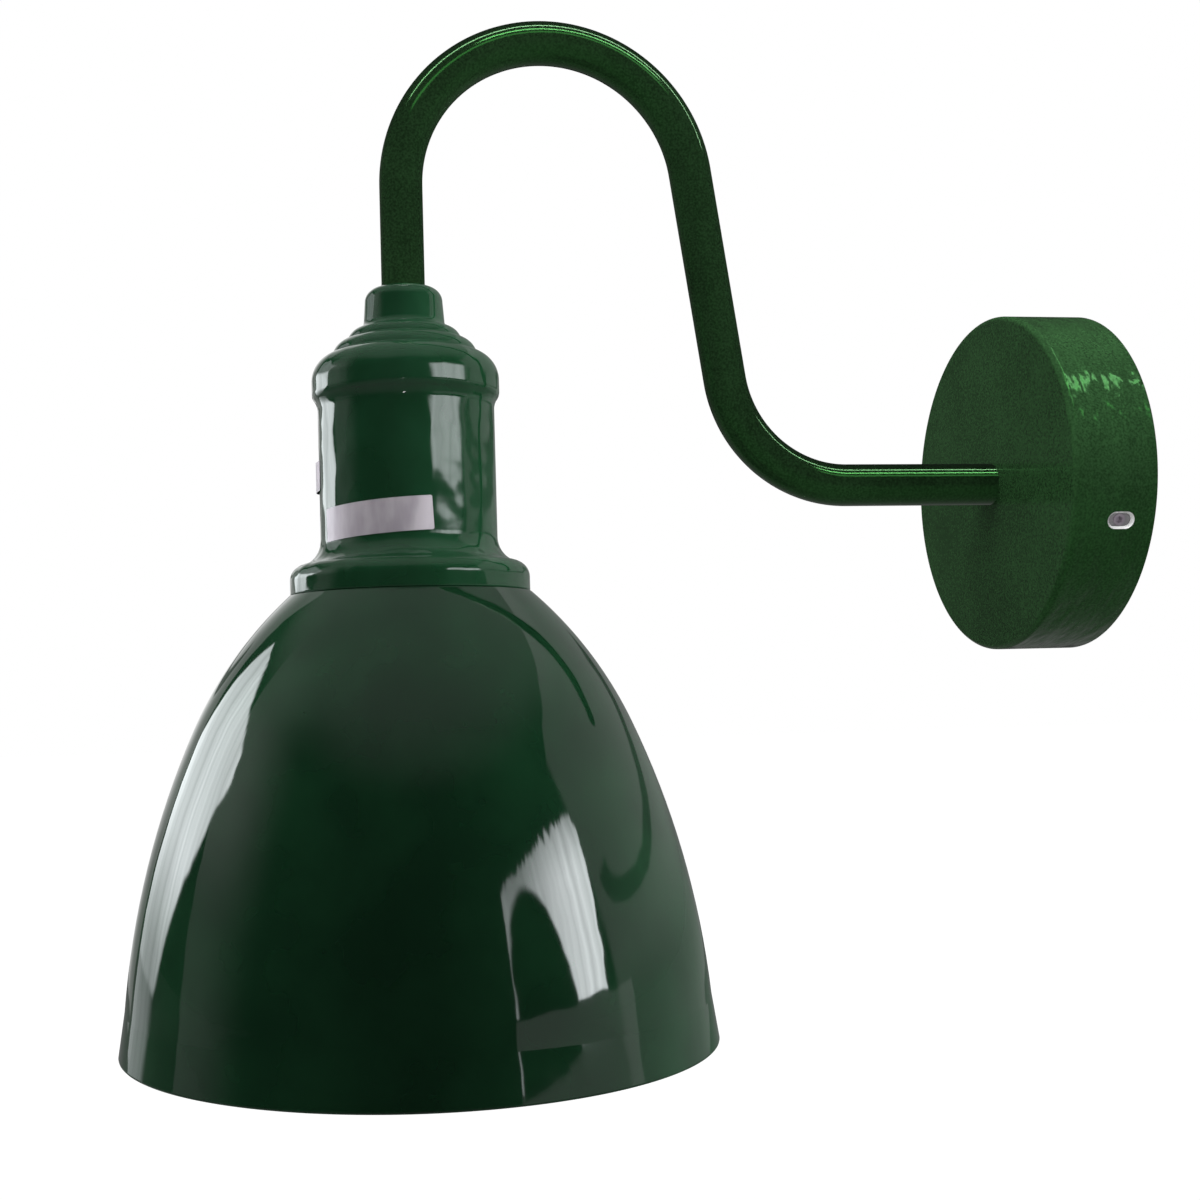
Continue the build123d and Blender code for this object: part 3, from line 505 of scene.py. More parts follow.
class Template:
    """A chain of points in the plane y = 0, (radius, height), drawn from its first point."""

    def __init__(self, radius, height):
        self.mesh = bmesh.new()
        self.tip = bmesh.ops.create_vert(self.mesh, co=(radius, 0, height))["vert"][0]
        self.first = self.tip
        self.heading = None

    def line(self, radius, height):
        """Straight run to a point, with a point near each end that keeps its middle evenly shaded."""
        start, end = self.tip.co.copy(), Vector((radius, 0, height))
        run = end - start
        self.heading = run.normalized()
        holds = [HOLD, run.length - HOLD] if run.length > 4 * HOLD else []
        for distance in holds + [run.length]:
            self.tip = bmesh.ops.extrude_vert_indiv(self.mesh, verts=[self.tip])["verts"][0]
            self.tip.co = start + self.heading * distance
        return self

    def arc(self, radius, height, leave=None, arrive=None, step=ARC_STEP):
        """Arc to a point. It goes on from the last run, or leaves or arrives along (radius, height)."""
        start, end = self.tip.co.copy(), Vector((radius, 0, height))
        chord = end - start
        if arrive is not None:
            last = Vector((arrive[0], 0, arrive[1])).normalized()
            along = chord.normalized()
            heading = 2 * along.dot(last) * along - last
        else:
            heading = self.heading if leave is None else Vector((leave[0], 0, leave[1])).normalized()
        side = Vector((-heading.z, 0, heading.x))
        reach = chord.length_squared / (2 * chord.dot(side))
        bend = 2 * heading.angle(chord) * (-1 if reach > 0 else 1)
        steps = max(2, round(abs(math.degrees(bend)) / step))
        spun = bmesh.ops.spin(self.mesh, geom=[self.tip], cent=start + side * reach, axis=(0, 1, 0),
                              angle=bend, steps=steps, use_duplicate=False)
        self.tip = [item for item in spun["geom_last"] if isinstance(item, bmesh.types.BMVert)][0]
        self.tip.co = end
        self.heading = (Matrix.Rotation(bend, 3, "Y") @ heading).normalized()
        return self

    def close(self):
        """Straight run back to the first point."""
        self.mesh.edges.new((self.tip, self.first))
        return self

    def turned(self, steps=TURN_STEPS):
        """The round solid of this template, as a bmesh."""
        bmesh.ops.spin(self.mesh, geom=self.mesh.verts[:] + self.mesh.edges[:], cent=(0, 0, 0),
                       axis=(0, 0, 1), angle=math.tau, steps=steps, use_merge=True, use_duplicate=False)
        bmesh.ops.remove_doubles(self.mesh, verts=self.mesh.verts[:], dist=WELD)
        bmesh.ops.recalc_face_normals(self.mesh, faces=self.mesh.faces[:])
        return self.mesh


print("a quarter arc has", round(90 / ARC_STEP), "points")

# %% [markdown]
# A finished bmesh becomes a piece in one place: it is moved to its seat in the mesh itself, so the object
# stays at the origin, faces are smooth, and edges that turn sharply are marked sharp.

# %% From bmesh to piece
SHARP = 32.0              # degrees between two faces that make an edge a crease


def mark_creases(mesh):
    """Smooth shading breaks at the edges that turn sharply."""
    for edge in mesh.edges:
        edge.smooth = len(edge.link_faces) == 2 and edge.calc_face_angle() < math.radians(SHARP)


def object_from(mesh, name, materials):
    """A new object in the scene from a bmesh, which is freed."""
    data = bpy.data.meshes.new(name)
    mesh.to_mesh(data)
    mesh.free()
    for material in materials:
        data.materials.append(material)
    made = bpy.data.objects.new(name, data)
    bpy.context.scene.collection.objects.link(made)
    return made


def piece_from(mesh, name, body, materials, place=Matrix.Identity(4), replaced=()):
    """A piece that rides a body and stands for the CAD nodes it replaces."""
    bmesh.ops.transform(mesh, matrix=place, verts=mesh.verts[:])
    for face in mesh.faces:
        face.smooth = True
    mark_creases(mesh)
    piece = object_from(mesh, name, materials)
    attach(piece, body)
    if replaced:
        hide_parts(*replaced)
    print("%s: %d faces" % (name, len(piece.data.polygons)))
    return piece


# %% [markdown]
# ## The bell shade
# It is spun from one disc of steel: a flat crown that the cup clamps, a round shoulder, a long flank and
# a nearly straight band above the rim. A single skin with a Solidify modifier would do, but here the
# template goes down the outside and back up the inside, a sheet's thickness away, so the shell is closed
# and the rim gets a true round. The inside is white from just above the rim.

# %% Bell shade
SHEET = 1.0 * MM
SHADE_HOLE_R = 20.4 * MM
CROWN_R = 41.5 * MM
CROWN_SLOPE = 48.0         # degrees from the vertical where the shoulder leaves the crown
KNEE = (74.0 * MM, SHADE_TOP - 44.5 * MM)
BAND = (RIM_R - 2.2 * MM, SHADE_RIM + 15.0 * MM)
RIM_ROUND = SHEET / 2
SHADE_STEP = 1.2           # finer than other arcs, because the gloss shows every facet
INWARD, DOWNWARD = -0.05, -0.6                       # a face turned further than this is inside


def under(point, way):
    """The point on the sheet's other side, for a template that passes a point on its way."""
    return point[0] + way[1] * SHEET, point[1] - way[0] * SHEET


def shade_shell():
    """The bell as a closed bmesh, from the hole in its crown out, down and back up."""
    slope = math.radians(CROWN_SLOPE)
    leave = (math.sin(slope), -math.cos(slope))
    line = Template(SHADE_HOLE_R, SHADE_TOP).line(CROWN_R, SHADE_TOP)
    line.arc(*KNEE, leave=leave, step=SHADE_STEP)
    knee_way = line.heading.copy()
    line.arc(*BAND, step=SHADE_STEP)
    band_way = line.heading.copy()
    line.line(RIM_R, SHADE_RIM + RIM_ROUND)
    line.arc(RIM_R - SHEET, SHADE_RIM + RIM_ROUND, leave=(0, -1), step=EDGE_STEP)
    line.line(*under(BAND, (band_way.x, band_way.z)))
    line.arc(*under(KNEE, (knee_way.x, knee_way.z)), arrive=(-knee_way.x, -knee_way.z), step=SHADE_STEP)
    crown_in = under((CROWN_R, SHADE_TOP), leave)
    line.arc(*crown_in, arrive=(-leave[0], -leave[1]), step=SHADE_STEP)
    line.line(crown_in[0], SHADE_TOP - SHEET).line(SHADE_HOLE_R, SHADE_TOP - SHEET)
    return line.close().turned(FINE_TURN)


def whiten_inside(mesh):
    """Second material on the faces that look towards the axis or down from under the crown."""
    for face in mesh.faces:
        middle = face.calc_center_median()
        outward = face.normal.dot(Vector((middle.x, middle.y, 0)).normalized())
        below_rim = middle.z < SHADE_RIM + 2 * RIM_ROUND
        if not below_rim and (outward < INWARD or face.normal.z < DOWNWARD):
            face.material_index = 1
    return mesh


piece_from(whiten_inside(shade_shell()), "bell_shade", "shade",
           [shade_enamel, inside_white], HEAD, ["shade"])

# %% [markdown]
# ## The lamp cup
# The cup is a casting: a flange with a square lip and a rolled top, a flare into a straight body, a bead,
# a shoulder, two stepped rings and a neck that takes the tube. Cylinders with bevelled edges would be
# quicker, but their bevels end in hard lines that paint would hide. So the same template draws it, going up
# the outside: every transition is an arc that is tangent to what it joins, and even the ledges of the steps
# are small hollow arcs, because thick paint fills them.

# %% Lamp cup
BODY_R = 30.3 * MM
LIP_H, LIP_ROUND = 5.0 * MM, 0.6 * MM
ROLL_W, ROLL_H = 5.4 * MM, 5.6 * MM
FLARE_H, BODY_H = 8.4 * MM, 44.0 * MM
GROOVE_H, BEAD_ROUND_H, BEAD_H, BEAD_PROUD = 3.5 * MM, 2.5 * MM, 4.2 * MM, 1.9 * MM
SHOULDER_H = 9.2 * MM
LEDGE_W, LEDGE_H = 0.45 * MM, 0.5 * MM
STEP_TWO_W, STEP_TWO_H = 4.8 * MM, 4.4 * MM
STEP_ONE_W, STEP_ONE_H = 4.2 * MM, 3.6 * MM
THROAT_W, THROAT_H = 1.4 * MM, 2.7 * MM
NECK_R, NECK_FLARE, NECK_ROUND = 13.4 * MM, 0.5 * MM, 4.6 * MM
SWELL = (-0.25, 1)         # way in which the steps leave their ledges, in and up
TUBE_SEAT, TUBE_PLAY = 10.6 * MM, 0.1 * MM
ROD_HOLE_R = 5.1 * MM
BOSS_R, BOSS_H = 14.5 * MM, 6.0 * MM
CUP_WALL, CEILING_DROP = 1.8 * MM, 2.5 * MM
LIP_W = 5.0 * MM


def rises(start, *steps):
    """Heights reached after each step."""
    heights = [start]
    for step in steps:
        heights.append(heights[-1] + step)
    return heights


def cup_body():
    """The cup as a closed bmesh, from under its flange up the outside and down the inside."""
    lip, roll, flare, body, groove, bead, bead_top, shoulder = rises(
        LIP_H, ROLL_H, FLARE_H, BODY_H, GROOVE_H, BEAD_ROUND_H, BEAD_H, SHOULDER_H)
    ledge_two, step_two, ledge_one, step_one, throat = rises(
        shoulder + LEDGE_H, STEP_TWO_H, LEDGE_H, STEP_ONE_H, THROAT_H)
    bead_r = BODY_R + BEAD_PROUD
    neck_foot = NECK_R + NECK_FLARE
    one_in = neck_foot + THROAT_W
    one_out = one_in + STEP_ONE_W
    two_in = one_out + LEDGE_W
    two_out = two_in + STEP_TWO_W
    floor = CUP_TOP - TUBE_SEAT
    boss = floor - BOSS_H
    line = Template(FLANGE_R - LIP_W, 0).line(FLANGE_R - LIP_ROUND, 0)
    line.arc(FLANGE_R, LIP_ROUND, step=SMALL_STEP).line(FLANGE_R, lip)
    line.arc(FLANGE_R - ROLL_W, roll).arc(BODY_R, flare, arrive=(0, 1)).line(BODY_R, body)
    line.arc(bead_r - BEAD_PROUD / 2, groove).arc(bead_r, bead, arrive=(0, 1)).line(bead_r, bead_top)
    line.arc(two_out + LEDGE_W, shoulder).arc(two_out, ledge_two, step=SMALL_STEP)
    line.arc(two_in, step_two, leave=SWELL).arc(one_out, ledge_one, step=SMALL_STEP)
    line.arc(one_in, step_one, leave=SWELL).arc(neck_foot, throat, arrive=(0, 1))
    line.line(NECK_R, CUP_TOP - NECK_ROUND).arc(NECK_R - NECK_ROUND, CUP_TOP, leave=(0, 1))
    line.line(TUBE_R + TUBE_PLAY, CUP_TOP).line(TUBE_R + TUBE_PLAY, floor)
    line.line(ROD_HOLE_R, floor).line(ROD_HOLE_R, boss)
    line.line(BOSS_R, boss).line(BODY_R - CUP_WALL, bead_top - CEILING_DROP)
    line.line(BODY_R - CUP_WALL, flare)
    return line.close().turned()


piece_from(cup_body(), "lamp_cup", "root", [cup_enamel], HEAD, ["socket_cup"])

# %% [markdown]
# ## The swan neck
# One tube, bent cold: a short wall run, a bend up, a leaning leg, an arch of 172 degrees and a plumb
# drop. It could be a curve with a round bevel, but the bends are true arcs, so a ring of edges is extruded
# along the straight runs and spun about each bend's centre, just as the bending machine turns it. The
# ring goes round once for the outside and once for the bore, and the two ends are bridged.

# %% Swan neck
TUBE_WALL = 1.2 * MM
ARCH_R, LOW_BEND_R = 52.0 * MM, 44.0 * MM
LEG_LEAN = 8.0             # degrees that the leg leans away from the plumb
ARCH_Z = ARCH_TOP - ARCH_R - TUBE_R
RING_STEPS, BEND_STEP = 64, 2.0


class Bender:
    """A ring of edges that leaves the rose along -Y, through runs and bends in the plane x = 0."""

    def __init__(self, mesh, radius, start):
        self.mesh = mesh
        ring = bmesh.ops.create_circle(mesh, cap_ends=False, radius=radius, segments=RING_STEPS,
                                       matrix=Matrix.Translation(start) @ turn(90, "X"))
        self.edges = list({edge for vert in ring["verts"] for edge in vert.link_edges})
        self.first = self.edges
        self.place, self.way = Vector(start), Vector((0, -1, 0))

    def run(self, length):
        """Straight on by a length."""
        grown = bmesh.ops.extrude_edge_only(self.mesh, edges=self.edges)["geom"]
        verts = [item for item in grown if isinstance(item, bmesh.types.BMVert)]
        bmesh.ops.translate(self.mesh, verts=verts, vec=self.way * length)
        self.edges = [item for item in grown if isinstance(item, bmesh.types.BMEdge)
                      and item.verts[0] in verts and item.verts[1] in verts]
        self.place += self.way * length

    def bend(self, degrees, radius):
        """Bend about an axis along X: positive turns from -Y up to +Z."""
        sign = 1 if degrees > 0 else -1
        side = Vector((0, self.way.z, -self.way.y)) * sign
        spun = bmesh.ops.spin(
            self.mesh, geom=self.edges + list({vert for edge in self.edges for vert in edge.verts}),
            cent=self.place + side * radius, axis=(1, 0, 0), angle=-math.radians(degrees),
            steps=round(abs(degrees) / BEND_STEP), use_duplicate=False)
        self.edges = [item for item in spun["geom_last"] if isinstance(item, bmesh.types.BMEdge)]
        swing = Matrix.Rotation(-math.radians(degrees), 3, "X")
        self.place += side * radius - swing @ (side * radius)
        self.way = swing @ self.way


def neck_skin(mesh, radius):
    """One skin of the tube; returns its two end rings."""
    lean = math.radians(LEG_LEAN)
    arch_y = AXIS_Y + ARCH_R
    leg_top = Vector((0, arch_y + ARCH_R * math.cos(lean), ARCH_Z + ARCH_R * math.sin(lean)))
    corner_y = leg_top.y + leg_top.z * math.tan(lean)
    setback = LOW_BEND_R * math.tan(math.radians(90 - LEG_LEAN) / 2)
    bender = Bender(mesh, radius, (0, -ROSE_DEPTH, 0))
    bender.run(-ROSE_DEPTH - corner_y - setback)
    bender.bend(90 - LEG_LEAN, LOW_BEND_R)
    bender.run((leg_top - bender.place).length)
    bender.bend(-(180 - LEG_LEAN), ARCH_R)
    bender.run(bender.place.z - tube_end_z())
    return bender.first + bender.edges


def tube_end_z():
    """The tube ends on the seat inside the cup's neck."""
    return SEAT_Z + CUP_TOP - TUBE_SEAT


def swan_neck():
    """Both skins of the tube, joined at its ends."""
    mesh = bmesh.new()
    outer = neck_skin(mesh, TUBE_R)
    inner = neck_skin(mesh, TUBE_R - TUBE_WALL)
    bmesh.ops.bridge_loops(mesh, edges=outer[:RING_STEPS] + inner[:RING_STEPS])
    bmesh.ops.bridge_loops(mesh, edges=outer[RING_STEPS:] + inner[RING_STEPS:])
    bmesh.ops.recalc_face_normals(mesh, faces=mesh.faces[:])
    return mesh


arm = piece_from(swan_neck(), "swan_neck", "root", [arm_powder], replaced=["arm_tube"])

# %% [markdown]
# ## The wall rose
# A shallow pressed dish with a round front edge and a small broken edge at the wall. A cylinder with its
# back open could be bevelled to it, but the template gives each edge its own radius. It is drawn with the
# radius outwards and the distance from the wall upwards, then laid on its side.

# %% Wall rose
ROSE_WALL, ROSE_EDGE_R = 1.2 * MM, 1.5 * MM
ROSE_HOLE_R = 5.1 * MM
EDGE_BREAK = 0.3 * MM
ROSE_STEP = 10             # degrees of arc from point to point on the front edge


def rose_dish():
    """The rose as a closed bmesh that stands on z = 0."""
    front = ROSE_DEPTH
    line = Template(ROSE_HOLE_R, front).line(ROSE_R - ROSE_EDGE_R, front)
    line.arc(ROSE_R, front - ROSE_EDGE_R, step=ROSE_STEP).line(ROSE_R, EDGE_BREAK)
    line.arc(ROSE_R - EDGE_BREAK, 0, step=EDGE_STEP).line(ROSE_R - ROSE_WALL, 0)
    line.line(ROSE_R - ROSE_WALL, front - ROSE_WALL - ROSE_EDGE_R / 2)
    line.arc(ROSE_R - ROSE_WALL - ROSE_EDGE_R / 2, front - ROSE_WALL, step=EDGE_STEP)
    line.line(ROSE_HOLE_R, front - ROSE_WALL)
    return line.close().turned(FINE_TURN)


rose = piece_from(rose_dish(), "wall_rose", "root", [rose_powder],
                  turn(90, "X"), ["canopy"])

# %% [markdown]
# Two slots in the rose's side, near the wall, let a key reach the set screws that hold it. Faces could be
# deleted and the hole bridged by hand, but a chamfered hole through a round wall is what a Boolean modifier
# is for. It is applied at once, and the cutter brings its own material to the punched edge: bare metal,
# painted near white as a highlight. The cutter is one obround outline, repeated at three depths and
# bridged.

# %% Slots in the rose
SLOT_FROM_WALL, SLOT_DROP = 12.1 * MM, 19.0      # drop in degrees below the horizontal
SLOT_L, SLOT_W, SLOT_CHAMFER = 7.8 * MM, 4.4 * MM, 0.85 * MM
CUT_DEPTH, CUT_PAST = 6.0 * MM, 1.0 * MM         # how far the cutter goes in and stands out
SLOT_STEPS = 48
ON_MIDDLE = 1e-9                                 # a point nearer the slot's middle than this stays there


def obround(mesh, grow, x):
    """Ring of edges of a slot's outline at a distance x from the rose's axis."""
    radius = SLOT_W / 2 + grow
    ring = bmesh.ops.create_circle(mesh, cap_ends=False, radius=radius, segments=SLOT_STEPS,
                                   matrix=Matrix.Translation((x, 0, 0)) @ turn(90, "Y"))["verts"]
    for vert in ring:
        if abs(vert.co.y) > ON_MIDDLE:
            vert.co.y += math.copysign((SLOT_L - SLOT_W) / 2, vert.co.y)
    return list({edge for vert in ring for edge in vert.link_edges})


def slot_cutter(side):
    """Closed plug in the shape of a slot with a chamfered mouth."""
    mesh = bmesh.new()
    rings = [obround(mesh, 0, ROSE_R - CUT_DEPTH), obround(mesh, 0, ROSE_R - SLOT_CHAMFER),
             obround(mesh, SLOT_CHAMFER + CUT_PAST, ROSE_R + CUT_PAST)]
    for low, high in zip(rings, rings[1:]):
        bmesh.ops.bridge_loops(mesh, edges=low + high)
    for ring in (rings[0], rings[-1]):
        bmesh.ops.contextual_create(mesh, geom=ring)
    bmesh.ops.translate(mesh, verts=mesh.verts[:], vec=(0, -SLOT_FROM_WALL, 0))
    bmesh.ops.transform(mesh, matrix=turn(SLOT_DROP, "Y"), verts=mesh.verts[:])
    if side < 0:
        bmesh.ops.transform(mesh, matrix=turn(180, "Y") @ turn(-2 * SLOT_DROP, "Y"), verts=mesh.verts[:])
    bmesh.ops.recalc_face_normals(mesh, faces=mesh.faces[:])
    return object_from(mesh, "slot_cutter", [bare_edge_and_highlight])


def cut_slots(piece):
    """Cut both slots and keep the result as the piece's own mesh."""
    cutters = [slot_cutter(side) for side in (1, -1)]
    for cutter in cutters:
        step = piece.modifiers.new("slot", "BOOLEAN")
        step.operation, step.solver, step.object = "DIFFERENCE", "EXACT", cutter
        step.material_mode = "TRANSFER"
    shape = piece.evaluated_get(bpy.context.evaluated_depsgraph_get())
    cut = bpy.data.meshes.new_from_object(shape)
    piece.modifiers.clear()
    piece.data = cut
    for cutter in cutters:
        bpy.data.objects.remove(cutter)
    mesh = bmesh.new()
    mesh.from_mesh(cut)
    mark_creases(mesh)
    mesh.to_mesh(cut)
    mesh.free()
    print(piece.name, "after its slots:", len(cut.polygons), "faces, materials",
          [material.name for material in cut.materials])


cut_slots(rose)

# %% [markdown]
# ## Foil labels
# Two blank labels wrap the straight of the cup. A shrinkwrap would pull a strip onto it, but a label is a
# flat sheet first. So each is a flat strip with round corners, the long one tilted a little because it was
# stuck on by hand, then rolled to the cup's radius by turning its width into an angle. Below the straight
# it follows the flare, and the short one has a blister where it has come loose.

# %% Labels
LABEL_T = 0.12 * MM
LABEL_LIFT = 0.03 * MM
CORNER_R, CORNER_STEPS = 0.6 * MM, 4
STRIP_STEPS = (64, 12)                           # faces along a strip and up it
BODY_FOOT = LIP_H + ROLL_H + FLARE_H
FLARE_R = ((FLANGE_R - ROLL_W - BODY_R) ** 2 + FLARE_H ** 2) / 2 / (FLANGE_R - ROLL_W - BODY_R)
BLISTER_AT, BLISTER_W = -101.0, 9.0              # degrees round the cup
LONG_LABEL = {"height": 11.2 * MM, "middle": 23.8 * MM, "from": -70.0, "to": 9.0,
              "tilt": 3.0, "blister": 0.0}
SHORT_LABEL = {"height": 10.3 * MM, "middle": 40.75 * MM, "from": -164.0, "to": -84.0,
               "tilt": 0.0, "blister": 1.1 * MM}


def label_strip(sizes):
    """Flat strip in x and z, with round corners, dense enough to be rolled."""
    width = math.radians(sizes["to"] - sizes["from"]) * BODY_R
    mesh = bmesh.new()
    across, up = STRIP_STEPS
    grid = bmesh.ops.create_grid(mesh, x_segments=across, y_segments=up, size=0.5)["verts"]
    bmesh.ops.scale(mesh, vec=(width, sizes["height"], 1), verts=grid)
    corners = [vert for vert in grid if len(vert.link_edges) == 2]
    bmesh.ops.bevel(mesh, geom=corners, offset=CORNER_R, offset_type="OFFSET", affect="VERTICES",
                    segments=CORNER_STEPS, profile=0.5, material=-1, clamp_overlap=True)
    bmesh.ops.transform(mesh, matrix=turn(90, "X") @ turn(sizes["tilt"], "Z"), verts=mesh.verts[:])
    return mesh


def rolled(mesh, sizes):
    """Roll a strip round the cup, and give it its thickness."""
    centre = math.radians((sizes["from"] + sizes["to"]) / 2)
    for vert in mesh.verts:
        angle = centre + vert.co.x / BODY_R
        height = vert.co.z + sizes["middle"]
        below = max(0.0, BODY_FOOT - height)
        loose = math.exp(-((math.degrees(angle) - BLISTER_AT) / BLISTER_W) ** 2) * sizes["blister"]
        radius = BODY_R + LABEL_LIFT + FLARE_R - math.sqrt(FLARE_R ** 2 - below ** 2) + loose
        vert.co = Vector((radius * math.cos(angle), radius * math.sin(angle), height))
    bmesh.ops.recalc_face_normals(mesh, faces=mesh.faces[:])
    mesh.faces.ensure_lookup_table()
    middle = mesh.faces[0].calc_center_median()
    if mesh.faces[0].normal.dot(Vector((middle.x, middle.y, 0))) < 0:
        bmesh.ops.reverse_faces(mesh, faces=mesh.faces[:])
    bmesh.ops.solidify(mesh, geom=mesh.faces[:], thickness=-LABEL_T)
    bmesh.ops.recalc_face_normals(mesh, faces=mesh.faces[:])
    return mesh


for name, node, sizes in (("long_label", "rating_label", LONG_LABEL),
                          ("short_label", "side_label", SHORT_LABEL)):
    piece_from(rolled(label_strip(sizes), sizes), name, "root", [foil], HEAD, [node])

# %% [markdown]
# ## Small metal and moulded pieces
# The screws, nuts, washers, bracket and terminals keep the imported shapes, but real ones have no knife
# edges. They could be modelled anew, but their shapes are right as they are. So a copy of each mesh has its
# loose triangles merged and its flat faces dissolved into one, and then every crease is bevelled a little,
# so that each edge catches a line of light.

# %% Softened copies
LOOSE_WELD = 2e-6          # packed points nearer than this are one
FLAT_WITHIN = 0.5          # degrees


def softened(node, edge_round, name, material):
    """A copy of a node with bevelled creases, which replaces it."""
    mesh = bmesh.new()
    mesh.from_mesh(frame["nodes"][node].data)
    bmesh.ops.remove_doubles(mesh, verts=mesh.verts[:], dist=LOOSE_WELD)
    bmesh.ops.dissolve_limit(mesh, angle_limit=math.radians(FLAT_WITHIN), verts=mesh.verts[:],
                             edges=mesh.edges[:], delimit={"NORMAL"})
    creases = [edge for edge in mesh.edges
               if len(edge.link_faces) == 2 and edge.calc_face_angle() > math.radians(SHARP)]
    bmesh.ops.bevel(mesh, geom=creases, offset=edge_round, offset_type="OFFSET", affect="EDGES",
                    segments=2, profile=0.5, material=-1, clamp_overlap=True)
    bmesh.ops.triangulate(mesh, faces=mesh.faces[:])
    part = next(part for part in frame["record"]["subparts"] if part["node"] == node)
    body = next(body for body, nodes in frame["record"]["behaviour"]["bodies"].items() if node in nodes)
    return piece_from(mesh, name, body, [material], replaced=[node])


SOFT_PIECES = {
    "wall_bracket": ("strap_bracket", 0.2 * MM, strap_zinc),
    "canopy_set_screws": ("rose_set_screws", 0.12 * MM, dull_zinc),
    "arm_nut": ("stud_nut", 0.25 * MM, bright_zinc),
    "arm_washer": ("stud_washer", 0.1 * MM, bright_zinc),
    "cable_bush": ("stud_bush", 0.15 * MM, natural_nylon),
    "terminal_block": ("mains_block", 0.3 * MM, natural_nylon),
    "terminal_fixing_screws": ("block_screws", 0.15 * MM, bright_zinc),
    "earth_screw": ("earth_clamp_screw", 0.2 * MM, bright_zinc),
    "terminal_inserts": ("block_inserts", 0.1 * MM, brass),
    "terminal_clamp_screws": ("block_clamp_screws", 0.1 * MM, bright_zinc),
    "earth_lug": ("earth_tab", 0.1 * MM, brass),
    "arm_wall_stud": ("wall_stud", 0.15 * MM, bright_zinc),
    "wire_live": ("live_core", 0.1 * MM, SLEEVES["brown_sleeve"]),
    "wire_neutral": ("neutral_core", 0.1 * MM, SLEEVES["blue_sleeve"]),
    "wire_earth": ("earth_core", 0.1 * MM, SLEEVES["earth_sleeve"]),
    "shade_ring": ("shade_grip_ring", 0.3 * MM, black_resin),
}
ROSE_PIECES = ["wall_rose"] + [name for name, _, _ in SOFT_PIECES.values() if name != "shade_grip_ring"]
for node, (name, edge_round, material) in SOFT_PIECES.items():
    softened(node, edge_round, name, material)

# %% [markdown]
# ## The contact spring
# A small coil presses the lampholder's middle contact down on the lamp, and is squeezed when a lamp pushes
# the contact up. Riding the contact, it would go into the ceramic above it, and standing still, it would
# run into the contact's collar. Here it gets a softened copy with a mesh of its own.

# %% Contact spring
WIRE_ROUND = 0.02 * MM
coil = softened("contact_spring", WIRE_ROUND, "contact_coil", bright_zinc)
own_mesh(coil)

# %% [markdown]
# ## The remaining nodes
# What is left sits deep inside or is plain enough already, such as the lampholder's core and shell. A new
# mesh would add nothing there, so each node only gets the finish of its slot.

# %% Materials on the nodes
SLOT_FINISHES = {
    "powder_green": arm_powder, "gloss_green": cup_enamel, "zinc_steel": strap_zinc,
    "plated_steel": bright_zinc, "natural_nylon": natural_nylon, "brass": brass, "foil_label": foil,
    "black_resin": black_resin, "ceramic": steatite_core, **SLEEVES}
for part in frame["record"]["subparts"]:
    node = frame["nodes"][part["node"]]
    node.data.materials.clear()
    node.data.materials.append(SLOT_FINISHES[part["material_slot"]])

# %% [markdown]
# ## The world
# The photograph has a plain white ground, but the enamel mirrors a dim room. A white world would wash the
# enamel out, and a dim one would leave a grey ground. The Light Path node parts the two: the world is white
# where the camera looks straight at it, and dim for every other ray.

# %% World
WHITE = (1, 1, 1, 1)
DIM = 0.02                 # what the gloss and the paint see of the white world


def rays(start, *kinds):
    """1 for rays of the named kinds, from the Light Path node."""
    total = None
    for kind in kinds:
        one = start.node("ShaderNodeLightPath", out=kind)
        total = one if total is None else start.maths("MAXIMUM", total, one)
    return total


def make_world():
    """White ground in the picture, dim room in the gloss."""
    world = bpy.data.worlds.new("studio")
    world.use_nodes = True
    tree = world.node_tree
    seen = rays(Field(tree), "Is Camera Ray", "Is Transmission Ray")
    plug(tree, tree.nodes["Background"].inputs["Strength"], DIM + seen * (1 - DIM))
    tree.nodes["Background"].inputs["Color"].default_value = WHITE
    bpy.context.scene.world = world


make_world()
print("the room glows at %.2f of white" % DIM)

# %% [markdown]
# ## The floor
# The floor is plain, pale and far enough below for a soft shadow. A floor lit to white would need strong
# lamps, which would flood the light too, so its own colour is nearly white in the camera's rays and the
# lamp above it only lifts it to white. Far from the light it goes to pure white, so that it meets the world
# without a line. Its back is see-through, because a view from below would otherwise show nothing else.

# %% Floor
FLOOR_Z = -0.55
FLOOR_SIZE = 30.0
FLOOR_PAINT = (paint(170, 170, 170), paint(176, 176, 176))
FLOOR_NEAR = paint(228, 228, 228)                    # its own glow under the light
FADE_FROM, FADE_TO = 0.5, 2.5                        # metres from the light, where the glow goes to white
FLOOR_SHEEN = 0.04                                   # how much of the glow the gloss sees


